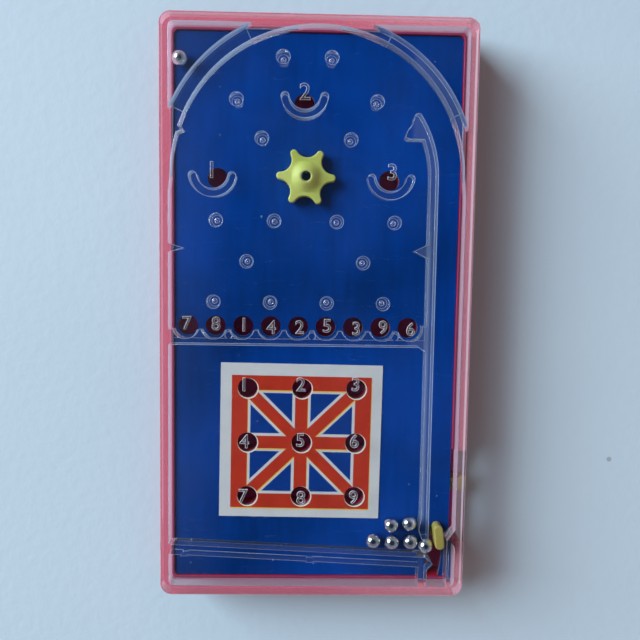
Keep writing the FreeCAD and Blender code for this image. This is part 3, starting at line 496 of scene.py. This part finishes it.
def ramp(tree, value, low, high, start=0.0, end=1.0):
    """A number carried from one range to another and held inside it."""
    node = put(tree, "ShaderNodeMapRange", in_0=value, in_1=low, in_2=high, in_3=start, in_4=end)
    return node.outputs[0]


def new_group(name, inputs, outputs):
    """A node group with named inputs and outputs."""
    group = bpy.data.node_groups.new(name, "ShaderNodeTree")
    for label, kind, value in inputs:
        socket = group.interface.new_socket(label, in_out="INPUT", socket_type=kind)
        if value is not None:
            socket.default_value = value
    for label, kind in outputs:
        group.interface.new_socket(label, in_out="OUTPUT", socket_type=kind)
    return group, group.nodes.new("NodeGroupInput").outputs, group.nodes.new("NodeGroupOutput")


def use(tree, group, **values):
    """Place a group in a material with its own values."""
    node = tree.nodes.new("ShaderNodeGroup")
    node.node_tree = group
    for key, value in values.items():
        feed(tree, node.inputs[key.replace("_", " ").capitalize()], value)
    return node.outputs


def handling_scratches():
    """Hair scratches: thin bands about the middle value of noise drawn out along two directions."""
    group, given, out = new_group("handling scratches", [
        ("Vector", "NodeSocketVector", None),
        ("Scale", "NodeSocketFloat", 60.0),
        ("Width", "NodeSocketFloat", 0.004),
    ], [("Mask", "NodeSocketFloat")])
    lines = []
    for turn, stretch in ((0.5, 7.0), (-0.8, 9.0), (1.5, 8.0)):
        aimed = put(group, "ShaderNodeMapping", in_Vector=given["Vector"],
                    in_Rotation=(0.0, 0.0, turn), in_Scale=(1.0, stretch, 1.0))
        noise = put(group, "ShaderNodeTexNoise", in_Vector=aimed.outputs[0],
                    in_Scale=given["Scale"], in_Detail=1.0)
        off = maths(group, "ABSOLUTE", maths(group, "SUBTRACT", noise.outputs[0], 0.5))
        line = maths(group, "LESS_THAN", off, given["Width"])
        patch = put(group, "ShaderNodeTexNoise", in_Vector=aimed.outputs[0],
                    in_Scale=product(group, given["Scale"], 0.6), in_Detail=0.0)
        lines.append(product(group, line, ramp(group, patch.outputs[0], 0.60, 0.68)))
    group.links.new(greatest(group, *lines), out.inputs["Mask"])
    return group


def dust_specks():
    """Specks of dust: small discs about the points of a cell pattern, some cells left empty."""
    group, given, out = new_group("dust specks", [
        ("Vector", "NodeSocketVector", None),
        ("Scale", "NodeSocketFloat", 300.0),
        ("Size", "NodeSocketFloat", 0.06),
        ("Share", "NodeSocketFloat", 0.3),
    ], [("Mask", "NodeSocketFloat")])
    cells = put(group, "ShaderNodeTexVoronoi", in_Vector=given["Vector"], in_Scale=given["Scale"])
    chance = put(group, "ShaderNodeSeparateColor", in_0=cells.outputs["Color"])
    size = product(group, given["Size"], maths(group, "ADD", chance.outputs[1], 0.3))
    speck = maths(group, "LESS_THAN", cells.outputs["Distance"], size)
    kept = maths(group, "LESS_THAN", chance.outputs[0], given["Share"])
    group.links.new(product(group, speck, kept), out.inputs["Mask"])
    return group


def moulding_flow():
    """Uneven flow of moulded plastic: broad soft noise for the tint, finer noise for the surface."""
    group, given, out = new_group("moulding flow", [
        ("Vector", "NodeSocketVector", None),
        ("Scale", "NodeSocketFloat", 90.0),
    ], [("Tint", "NodeSocketFloat"), ("Height", "NodeSocketFloat")])
    broad = put(group, "ShaderNodeTexNoise", in_Vector=given["Vector"], in_Scale=given["Scale"],
                in_Detail=3.0)
    fine = put(group, "ShaderNodeTexNoise", in_Vector=given["Vector"],
               in_Scale=product(group, given["Scale"], 14.0), in_Detail=2.0)
    group.links.new(broad.outputs[0], out.inputs["Tint"])
    height = maths(group, "ADD", broad.outputs[0], product(group, fine.outputs[0], 0.15))
    group.links.new(height, out.inputs["Height"])
    return group


SCRATCHES = handling_scratches()
DUST = dust_specks()
FLOW = moulding_flow()


def new_material(name, **plain):
    """A material with one main shader, plain values on its sockets, and object coordinates."""
    material = bpy.data.materials.new(name)
    material.use_nodes = True
    tree = material.node_tree
    tree.nodes.clear()
    shader = put(tree, "ShaderNodeBsdfPrincipled")
    for key, value in plain.items():
        shader.inputs[key.replace("_", " ")].default_value = value
    out = tree.nodes.new("ShaderNodeOutputMaterial")
    tree.links.new(shader.outputs[0], out.inputs[0])
    place = tree.nodes.new("ShaderNodeTexCoord").outputs["Object"]
    return material, tree, shader, place, out


def bump(tree, height, distance, strength):
    """A normal from a height of 0 to 1, which stands for a distance in metres."""
    node = put(tree, "ShaderNodeBump", in_Height=height, in_Distance=distance,
               in_Strength=strength)
    return node.outputs[0]


def with_tops(tree, place, tint, tops):
    """A tint that gives way to painted light and shade on the level faces at some heights.

    Each top is a height, its colour in the middle of the case and its colour at the right side.
    """
    x, _, z = parts_of(tree, place)
    level = maths(tree, "GREATER_THAN", true_normal(tree)[2], 0.5)
    across = ramp(tree, x, 0.0, 33.0 * MM)
    for height, middle, right in tops:
        near = maths(tree, "COMPARE", z, height * MM, 0.1 * MM)
        tint = blend(tree, product(tree, level, near), tint, blend(tree, across, middle, right))
    return tint


def opaque_plastic(name, deep, bright, roughness, tops=(), **plain):
    """Moulded plastic: a tint that drifts between two colours, with dust and hair scratches."""
    material, tree, shader, place, _ = new_material(name, **plain)
    flow = use(tree, FLOW, vector=place)
    tint = blend(tree, ramp(tree, flow["Tint"], 0.3, 0.7), deep, bright)
    if tops:
        tint = with_tops(tree, place, tint, tops)
    specks = use(tree, DUST, vector=place, scale=420.0, size=0.09, share=0.10)["Mask"]
    lines = use(tree, SCRATCHES, vector=place, scale=70.0, width=0.003)["Mask"]
    dusty = blend(tree, product(tree, specks, 0.25), tint, linear(196, 200, 204))
    worn = blend(tree, product(tree, lines, 0.05), dusty, linear(210, 214, 220))
    feed(tree, shader.inputs["Base Color"], worn)
    rough = maths(tree, "ADD", product(tree, lines, 0.2),
                  ramp(tree, flow["Tint"], 0.3, 0.7, roughness, roughness + 0.08))
    feed(tree, shader.inputs["Roughness"], rough)
    feed(tree, shader.inputs["Normal"], bump(tree, flow["Height"], 0.00006, 0.5))
    return material


def painted_card():
    """The board: card painted deep blue in faint streaks, with grey card on its cut edges."""
    material, tree, shader, place, _ = new_material("board_blue", Roughness=0.5,
                                                    Specular_IOR_Level=0.08)
    flow = use(tree, FLOW, vector=place, scale=28.0)
    streaked = put(tree, "ShaderNodeMapping", in_Vector=place, in_Scale=(1.0, 0.12, 1.0))
    streak = put(tree, "ShaderNodeTexNoise", in_Vector=streaked.outputs[0], in_Scale=700.0,
                 in_Detail=3.0)
    depth = maths(tree, "ADD", product(tree, flow["Tint"], 0.8),
                  product(tree, streak.outputs[0], 0.2))
    paint = blend(tree, ramp(tree, depth, 0.36, 0.64), linear(0, 45, 108), linear(0, 65, 156))
    fibre = put(tree, "ShaderNodeTexNoise", in_Vector=place, in_Scale=1800.0, in_Detail=3.0)
    card = blend(tree, fibre.outputs[0], linear(58, 64, 84), linear(96, 102, 118))
    cut_edge = maths(tree, "LESS_THAN", maths(tree, "ABSOLUTE", true_normal(tree)[2]), 0.5)
    feed(tree, shader.inputs["Base Color"], blend(tree, cut_edge, paint, card))
    feed(tree, shader.inputs["Normal"], bump(tree, fibre.outputs[0], 0.00001, 0.4))
    return material


def cover_zones(tree, place):
    """Masks for the zones of the cover, from a point's place and the way its surface faces.

    The side is any face that isn't level, and away is how far it looks away from the window. The
    zone below is all that lies under the plate. The outer walls have an inner side and a skin,
    the far skin is that of the two walls away from the window, and the top line is where the skin
    meets the plate's top. The rail is the ledge at the bottom of the field.
    """
    x, y, z = parts_of(tree, place)
    wide, tall = maths(tree, "ABSOLUTE", x), maths(tree, "ABSOLUTE", y)
    across, along, up = true_normal(tree)
    upright = maths(tree, "ABSOLUTE", up)
    walls = greatest(tree, maths(tree, "GREATER_THAN", wide, WALLS_FROM[0] * MM),
                     maths(tree, "GREATER_THAN", tall, WALLS_FROM[1] * MM))
    skin = greatest(tree, maths(tree, "GREATER_THAN", wide, SKIN_FROM[0] * MM),
                    maths(tree, "GREATER_THAN", tall, SKIN_FROM[1] * MM))
    far = greatest(tree, maths(tree, "GREATER_THAN", x, SKIN_FROM[0] * MM),
                   maths(tree, "LESS_THAN", y, -SKIN_FROM[1] * MM))
    turned = maths(tree, "LESS_THAN", upright, 0.97)
    below = ramp(tree, z, (PLATE_UNDER - 0.02) * MM, (PLATE_UNDER - 0.12) * MM)
    lean = maths(tree, "SUBTRACT", product(tree, across, 0.8), product(tree, along, 0.6))
    aside = maths(tree, "ABSOLUTE", maths(tree, "SUBTRACT", x, DIVIDER_X * MM))
    return SimpleNamespace(
        x=x,
        z=z,
        side=ramp(tree, upright, 0.98, 0.85),
        away=ramp(tree, lean, -1.0, 1.0, 0.45, 1.3),
        below=below,
        inner_wall=product(tree, maths(tree, "SUBTRACT", walls, skin), below),
        skin=product(tree, skin, turned),
        far_skin=product(tree, far, turned),
        top_line=maths(tree, "COMPARE", z, (PLATE_TOP - 0.07) * MM, 0.08 * MM),
        rail=ramp(tree, y, -46.0 * MM, -49.0 * MM),
        divider=product(tree, ramp(tree, aside, 0.8 * MM, 0.3 * MM),
                        ramp(tree, y, 26.0 * MM, 12.0 * MM)),
    )


def wall_painted_light(tree, zone):
    """How much painted scattered light the walls, ribs and pins under the plate show, and how far
    their edges shine with painted highlights.

    The painted light is strongest on the sides near the plate and where they look away from the
    window, and pins are clearer. Of the level faces, those on the right are lighter and the middle
    of the lane's divider most. The outer walls' inner faces have a share of their own.
    """
    rim = put(tree, "ShaderNodeAttribute", attribute_name="rim").outputs["Fac"]
    flat = ramp(tree, zone.x, 20.3 * MM, 21.3 * MM, 0.03, 0.17)
    flat = blend_number(tree, zone.divider, flat, 0.42)
    deep = ramp(tree, zone.z, (PLATE_UNDER - 1.0) * MM, (PLATE_UNDER - 3.3) * MM, 0.44, 0.18)
    # painted highlight: sides that look away from the window are made lighter
    steep = product(tree, deep, ramp(tree, rim, -1.0, 0.0, 0.3, 1.0), zone.away)
    milk_share = blend_number(tree, zone.side, flat, steep)
    milk_share = product(tree, milk_share, zone.below, ramp(tree, zone.rail, 0.0, 1.0, 1.0, 0.22))
    milk_share = blend_number(tree, zone.inner_wall, milk_share, ramp(tree, zone.side, 0.0, 1.0, 0.30, 0.56))
    under = maths(tree, "LESS_THAN", zone.z, (PLATE_UNDER + 0.05) * MM)
    # painted highlight lines on the rounded edges, stronger where they look away from the window
    shine = product(tree, rim, under, zone.away, ramp(tree, zone.rail, 0.0, 1.0, 0.65, 0.38))
    return greatest(tree, milk_share, shine)


def wear_and_edge_light(tree, place, zone):
    """How milky the cover's outside is: painted light on the right wall's skin, a painted highlight
    along the top line, and worn patches, a faint veil towards the left and dust on its face.
    """
    # painted light on the right wall's skin, and a painted highlight along every skin's top line
    edge = ramp(tree, zone.x, (SKIN_FROM[0] - 0.9) * MM, SKIN_FROM[0] * MM, 0.0, 0.72)
    edge = product(tree, zone.skin, blend_number(tree, zone.top_line, edge, 0.8))
    broad = put(tree, "ShaderNodeTexNoise", in_Vector=place, in_Scale=45.0, in_Detail=2.0)
    fine = put(tree, "ShaderNodeTexNoise", in_Vector=place, in_Scale=2600.0, in_Detail=5.0)
    patch = product(tree, ramp(tree, broad.outputs[0], 0.45, 0.7, 0.0, 0.035),
                    ramp(tree, fine.outputs[0], 0.3, 0.8))
    veil = ramp(tree, zone.x, -32.0 * MM, -18.0 * MM, 0.035, 0.0)
    specks = use(tree, DUST, vector=place, scale=330.0, size=0.06, share=0.10)["Mask"]
    face = greatest(tree, maths(tree, "ADD", patch, veil), product(tree, specks, 0.4))
    face = product(tree, face, maths(tree, "GREATER_THAN", zone.z, (PLATE_TOP - 0.1) * MM))
    return greatest(tree, edge, face)


def painted_light_tint(tree, zone):
    """The colour of the cover's painted light: a painted reflection of the tray's red in the outer
    walls, of the board's blue in the lane's divider, and a near-white highlight on the top line.
    """
    tint = blend(tree, zone.divider, linear(190, 208, 232), (0.64, 0.80, 1.0, 1.0))
    tint = blend(tree, zone.inner_wall, tint, (0.92, 0.52, 0.63, 1.0))
    outside = blend(tree, zone.top_line, (0.96, 0.74, 0.79, 1.0), (0.98, 0.90, 0.93, 1.0))
    return blend(tree, zone.skin, tint, outside)


def clear_plastic():
    """Clear moulding with hair scratches: it bends light, and lets lamp light through to the board.

    A share of milk, half diffuse and half translucent, is painted light: it stands for the light
    that the moulding scatters in its walls, at its edges and on its worn face.
    """
    material, tree, shader, place, out = new_material(
        "clear_plastic", Base_Color=(0.955, 0.965, 0.975, 1.0), Transmission_Weight=1.0,
        IOR=1.52, Metallic=0.0)
    lines = use(tree, SCRATCHES, vector=place, scale=110.0, width=0.004)["Mask"]
    flow = use(tree, FLOW, vector=place, scale=70.0)
    feed(tree, shader.inputs["Roughness"], ramp(tree, lines, 0.0, 1.0, 0.012, 0.2))
    height = maths(tree, "SUBTRACT", product(tree, flow["Tint"], 3.0), product(tree, lines, 0.06))
    feed(tree, shader.inputs["Normal"], bump(tree, height, 0.00003, 0.6))
    zone = cover_zones(tree, place)
    milk_share = greatest(tree, wall_painted_light(tree, zone), wear_and_edge_light(tree, place, zone))
    tint = painted_light_tint(tree, zone)
    # the milk mixed in by its share: painted scattered light and highlights, and the face's wear
    milk = put(tree, "ShaderNodeMixShader", in_0=0.5,
               in_1=put(tree, "ShaderNodeBsdfDiffuse", in_Color=tint).outputs[0],
               in_2=put(tree, "ShaderNodeBsdfTranslucent", in_Color=tint).outputs[0])
    body = put(tree, "ShaderNodeMixShader", in_0=milk_share, in_1=shader.outputs[0],
               in_2=milk.outputs[0])
    # light that leaves by the far walls is bent away, so that they throw a shadow
    through = put(tree, "ShaderNodeBsdfTransparent",
                  in_Color=blend(tree, zone.far_skin, (0.93, 0.94, 0.95, 1.0),
                                 (0.22, 0.19, 0.19, 1.0)))
    path = tree.nodes.new("ShaderNodeLightPath")
    passing = greatest(tree, path.outputs["Is Shadow Ray"], path.outputs["Is Diffuse Ray"])
    mix = put(tree, "ShaderNodeMixShader", in_0=passing, in_1=body.outputs[0],
              in_2=through.outputs[0])
    tree.links.new(mix.outputs[0], out.inputs[0])
    return material


def number_edge_highlights():
    """Raised digits: their sloping sides are painted white as a highlight, and their level faces
    hardly show.
    """
    material, tree, shader, place, _ = new_material("number_edge_highlights", Roughness=0.25, IOR=1.5)
    flow = use(tree, FLOW, vector=place, scale=500.0)
    # painted highlight: the white on the sloping sides stands for the light the clear digits catch
    tint = blend(tree, flow["Tint"], linear(216, 222, 232), linear(246, 248, 250))
    feed(tree, shader.inputs["Base Color"], tint)
    level = maths(tree, "ABSOLUTE", true_normal(tree)[2])
    feed(tree, shader.inputs["Alpha"], ramp(tree, level, 0.97, 0.85, 0.03, 0.97))
    return material


def flag_bars():
    """How far a point lies inside the red bars of the printed square, in millimetres.

    The bars are a frame, an upright cross and two diagonals from corner to corner. The result is
    the greatest of the frame's, the cross's and the diagonals' own distances, and the square's
    own edge is the second output.
    """
    group, given, out = new_group("flag bars", [("Vector", "NodeSocketVector", None)],
                                  [("Bars", "NodeSocketFloat"), ("Square", "NodeSocketFloat")])
    x, y, _ = parts_of(group, given["Vector"])
    wide = maths(group, "ABSOLUTE", product(group, x, 1 / MM))
    tall = maths(group, "ABSOLUTE", product(group, y, 1 / MM))
    edge = maths(group, "MINIMUM", maths(group, "SUBTRACT", PRINT_HALF[0], wide),
                 maths(group, "SUBTRACT", PRINT_HALF[1], tall))
    rim = greatest(group, maths(group, "SUBTRACT", wide, FIELD_HALF[0]),
                   maths(group, "SUBTRACT", tall, FIELD_HALF[1]))
    cross = maths(group, "SUBTRACT", CROSS_HALF, maths(group, "MINIMUM", wide, tall))
    lean = math.atan2(FIELD_HALF[1], FIELD_HALF[0])
    slant = maths(group, "SUBTRACT", product(group, wide, math.sin(lean)),
                  product(group, tall, math.cos(lean)))
    diagonal = maths(group, "SUBTRACT", DIAGONAL_HALF, maths(group, "ABSOLUTE", slant))
    group.links.new(greatest(group, rim, cross, diagonal), out.inputs["Bars"])
    group.links.new(edge, out.inputs["Square"])
    return group


def to_window_middle(tree, place):
    """How far a point of the printed square is from the middle of its window, in millimetres.

    The windows' middles are taken 0.12 mm to the lower right of the holes, so that a cream
    crescent shows there, a painted highlight on the lit cut edge of the paper.
    """
    grid = put(tree, "ShaderNodeMapping", vector_type="TEXTURE", in_Vector=place,
               in_Location=((GRID_MIDDLE[0] + 0.12) * MM, (GRID_MIDDLE[1] - 0.12) * MM, 0.0))
    squares = []
    for part, pitch in zip(parts_of(tree, grid.outputs[0]), GRID_PITCH):
        count = maths(tree, "DIVIDE", part, pitch * MM)
        off = product(tree, maths(tree, "SUBTRACT", count, maths(tree, "ROUND", count)), pitch)
        squares.append(product(tree, off, off))
    return maths(tree, "SQRT", maths(tree, "ADD", *squares))


def label_print():
    """Printed paper: red bars edged in white, blue between them, yellow a little out of register."""
    material, tree, shader, place, _ = new_material("label_print", Roughness=0.5,
                                                    Specular_IOR_Level=0.15)
    bars_group = flag_bars()
    turn = math.radians(LABEL_TURN)
    x, y = LABEL_MIDDLE[0] * MM, LABEL_MIDDLE[1] * MM

    def plate(shift_x, shift_y):
        """One ink's bars, shifted from the square's middle."""
        aimed = put(tree, "ShaderNodeMapping", vector_type="TEXTURE", in_Vector=place,
                    in_Location=(x + shift_x * MM, y + shift_y * MM, 0.0),
                    in_Rotation=(0.0, 0.0, turn))
        return use(tree, bars_group, vector=aimed.outputs[0])

    red, yellow = plate(0.0, 0.0), plate(0.14, -0.29)

    def inside(distance):
        """1 inside a printed edge and 0 outside, with a soft step between."""
        return ramp(tree, distance, -0.06, 0.06)

    grain = put(tree, "ShaderNodeTexNoise", in_Vector=place, in_Scale=2600.0, in_Detail=3.0)
    mottle = put(tree, "ShaderNodeTexNoise", in_Vector=place, in_Scale=260.0, in_Detail=2.0)
    paper = blend(tree, mottle.outputs[0], linear(196, 200, 203), linear(214, 216, 216))
    red_ink = blend(tree, mottle.outputs[0], linear(172, 46, 30), linear(194, 60, 38))
    blue_ink = blend(tree, mottle.outputs[0], linear(4, 48, 122), linear(12, 62, 142))
    yellow_part = product(tree, inside(yellow["Bars"]), inside(yellow["Square"]))
    red_part = product(tree, inside(red["Bars"]), inside(red["Square"]))
    gap = maths(tree, "SUBTRACT", -WHITE_EDGE, red["Bars"])
    blue_part = product(tree, inside(gap), inside(red["Square"]))
    colour = blend(tree, blue_part, paper, blue_ink)
    colour = blend(tree, yellow_part, colour, linear(232, 190, 92))
    colour = blend(tree, red_part, colour, red_ink)
    # painted highlight: a cream crescent of the paper's lit cut edge on each window's lower right
    lit_crescent = ramp(tree, to_window_middle(tree, place), WINDOW_EDGE + 0.04, WINDOW_EDGE - 0.04)
    colour = blend(tree, lit_crescent, colour, linear(236, 226, 208))
    specks = use(tree, DUST, vector=place, scale=380.0, size=0.10, share=0.12)["Mask"]
    colour = blend(tree, product(tree, specks, 0.3), colour, linear(150, 130, 120))
    feed(tree, shader.inputs["Base Color"], colour)
    feed(tree, shader.inputs["Normal"], bump(tree, grain.outputs[0], 0.00002, 0.4))
    return material


def polished_steel():
    """Bright ball steel with faint clouding and fine handling marks."""
    material, tree, shader, place, _ = new_material("polished_steel", Metallic=1.0)
    cloud = put(tree, "ShaderNodeTexNoise", in_Vector=place, in_Scale=900.0, in_Detail=3.0)
    lines = use(tree, SCRATCHES, vector=place, scale=500.0, width=0.006)["Mask"]
    tint = blend(tree, cloud.outputs[0], linear(196, 198, 198), linear(232, 233, 232))
    feed(tree, shader.inputs["Base Color"], tint)
    rough = maths(tree, "ADD", ramp(tree, cloud.outputs[0], 0.3, 0.7, 0.06, 0.14),
                  product(tree, lines, 0.15))
    feed(tree, shader.inputs["Roughness"], rough)
    feed(tree, shader.inputs["Normal"], bump(tree, cloud.outputs[0], 0.000012, 0.4))
    return material


def spring_steel():
    """Drawn wire: fine streaks and a darker, duller grey than the balls."""
    material, tree, shader, place, _ = new_material("spring_steel", Metallic=1.0)
    streak = put(tree, "ShaderNodeTexNoise", in_Vector=place, in_Scale=1500.0, in_Detail=4.0)
    tint = blend(tree, streak.outputs[0], linear(140, 142, 144), linear(186, 188, 190))
    feed(tree, shader.inputs["Base Color"], tint)
    feed(tree, shader.inputs["Roughness"], ramp(tree, streak.outputs[0], 0.3, 0.7, 0.25, 0.42))
    return material


def painted_table():
    """Pale painted table with brush unevenness and a few specks."""
    material, tree, shader, place, _ = new_material("painted_table", Roughness=0.62)
    broad = put(tree, "ShaderNodeTexNoise", in_Vector=place, in_Scale=14.0, in_Detail=4.0)
    fine = put(tree, "ShaderNodeTexNoise", in_Vector=place, in_Scale=420.0, in_Detail=5.0)
    tint = blend(tree, broad.outputs[0], linear(182, 203, 219), linear(196, 216, 229))
    specks = use(tree, DUST, vector=place, scale=60.0, size=0.03, share=0.35)["Mask"]
    tint = blend(tree, product(tree, specks, 0.5), tint, linear(120, 116, 110))
    feed(tree, shader.inputs["Base Color"], tint)
    feed(tree, shader.inputs["Normal"], bump(tree, fine.outputs[0], 0.0002, 0.35))
    return material


def finish(piece, material):
    """Give a piece's slots their material."""
    if not piece.material_slots:
        piece.data.materials.append(material)
    for slot in piece.material_slots:
        slot.material = material


# The part

cover = rounded_copy("clear_cover", "clear_moulding", "case", 0.12)
tray = rounded_copy("base_tray", "red_tray", "case", 0.15)
star = rounded_copy("star_spinner", "yellow_star", "star", 0.3, 4)
lever = rounded_copy("launcher_lever", "yellow_lever", "lever", 0.3, 4)

number_pieces = [
    raised_numbers("row_numbers", ROW_NUMBERS, 3.0),
    raised_numbers("grid_numbers", GRID_NUMBERS, 3.1),
    raised_numbers("cup_numbers", CUP_NUMBERS, 3.6),
]

finish(cover, clear_plastic())
# painted light and shade on the tray's level faces: the rim is painted paler than the rest, as
# the clear walls that stand on it scatter light onto it, and palest on the right, away from the
# window; the lip is painted darker as its shade; the floor, seen down the holes, is wine red
tray_light_and_shade_tops = (
    (SEAM, (0.80, 0.19, 0.27, 1.0), (0.98, 0.36, 0.44, 1.0)),
    (LIP_TOP, linear(146, 54, 92), linear(146, 54, 92)),
    (FLOOR_TOP, (0.66, 0.05, 0.34, 1.0), (0.66, 0.05, 0.34, 1.0)),
)
finish(tray, opaque_plastic("tray_red", linear(166, 16, 40), linear(188, 26, 54), 0.32,
                            tops=tray_light_and_shade_tops, Specular_IOR_Level=0.35))
finish(NODES["playfield_board"], painted_card())
finish(star, opaque_plastic("star_yellow", linear(178, 190, 84), linear(200, 208, 116), 0.35,
                            Subsurface_Weight=0.15, Subsurface_Scale=0.002))
finish(lever, opaque_plastic("lever_yellow", linear(152, 140, 66), linear(180, 166, 88), 0.35))
finish(NODES["grid_label"], label_print())
finish(NODES["launcher_spring"], spring_steel())
steel = polished_steel()
for ball in BALLS:
    finish(NODES[ball], steel)
relief = number_edge_highlights()
for piece in number_pieces:
    finish(piece, relief)
finish(table_top(), painted_table())


# Light and camera

def soft_lamp(name, place, size, power, colour, mirrored):
    """A square soft lamp that faces the case and shows in shiny faces or doesn't."""
    lamp = bpy.data.lights.new(name, "AREA")
    lamp.size = size
    lamp.energy = power
    lamp.color = colour
    holder = bpy.data.objects.new(name, lamp)
    holder.location = place
    holder.rotation_euler = (-Vector(place)).to_track_quat("-Z", "Y").to_euler()
    holder.visible_glossy = mirrored
    bpy.context.scene.collection.objects.link(holder)


def warm_room():
    """The room's light: warm from the sides, dark overhead, greyer in shiny and clear faces.

    The camera sees a plain pale blue wall.
    """
    world = bpy.data.worlds.new("room")
    world.use_nodes = True
    tree = world.node_tree
    tree.nodes.clear()
    upward = parts_of(tree, tree.nodes.new("ShaderNodeTexCoord").outputs["Generated"])[2]
    path = tree.nodes.new("ShaderNodeLightPath")
    seen = path.outputs["Is Camera Ray"]
    mirrored = greatest(tree, path.outputs["Is Glossy Ray"], path.outputs["Is Transmission Ray"])
    warm = blend(tree, mirrored, (1.0, 0.60, 0.46, 1.0), (0.46, 0.49, 0.53, 1.0))
    light = blend(tree, ramp(tree, upward, 0.6, 0.85), warm, (0.4, 0.65, 1.0, 1.0))
    strength = ramp(tree, upward, 0.6, 0.9, 0.55, 0.02)
    sky = put(tree, "ShaderNodeBackground",
              in_Strength=blend_number(tree, seen, strength, 0.75),
              in_Color=blend(tree, seen, light, (0.78, 0.86, 0.92, 1.0)))
    out = tree.nodes.new("ShaderNodeOutputWorld")
    tree.links.new(sky.outputs[0], out.inputs[0])
    bpy.context.scene.world = world


# a low broad window on the left, of which a third shows in shiny faces
WINDOW = (-1.76, 0.84, 1.0)
WINDOW_COLOUR = (0.78, 0.925, 1.0)
soft_lamp("window", WINDOW, 1.5, 68.0, WINDOW_COLOUR, mirrored=False)
soft_lamp("window_glint", WINDOW, 1.5, 34.0, WINDOW_COLOUR, mirrored=True)
warm_room()

# the camera's place, turn and lens are fitted to the case's outline and to its two sets of holes
eye = bpy.data.cameras.new("camera")
eye.sensor_width = 36.0
eye.lens = 39.075
eye.clip_start = 0.001
camera = bpy.data.objects.new("camera", eye)
camera.location = (-0.002511, 0.011226, 0.163652)
camera.rotation_euler = [math.radians(a) for a in (-4.72948, -1.2137, 0.89961)]
bpy.context.scene.collection.objects.link(camera)
bpy.context.scene.camera = camera

bpy.context.scene.view_settings.view_transform = "Standard"
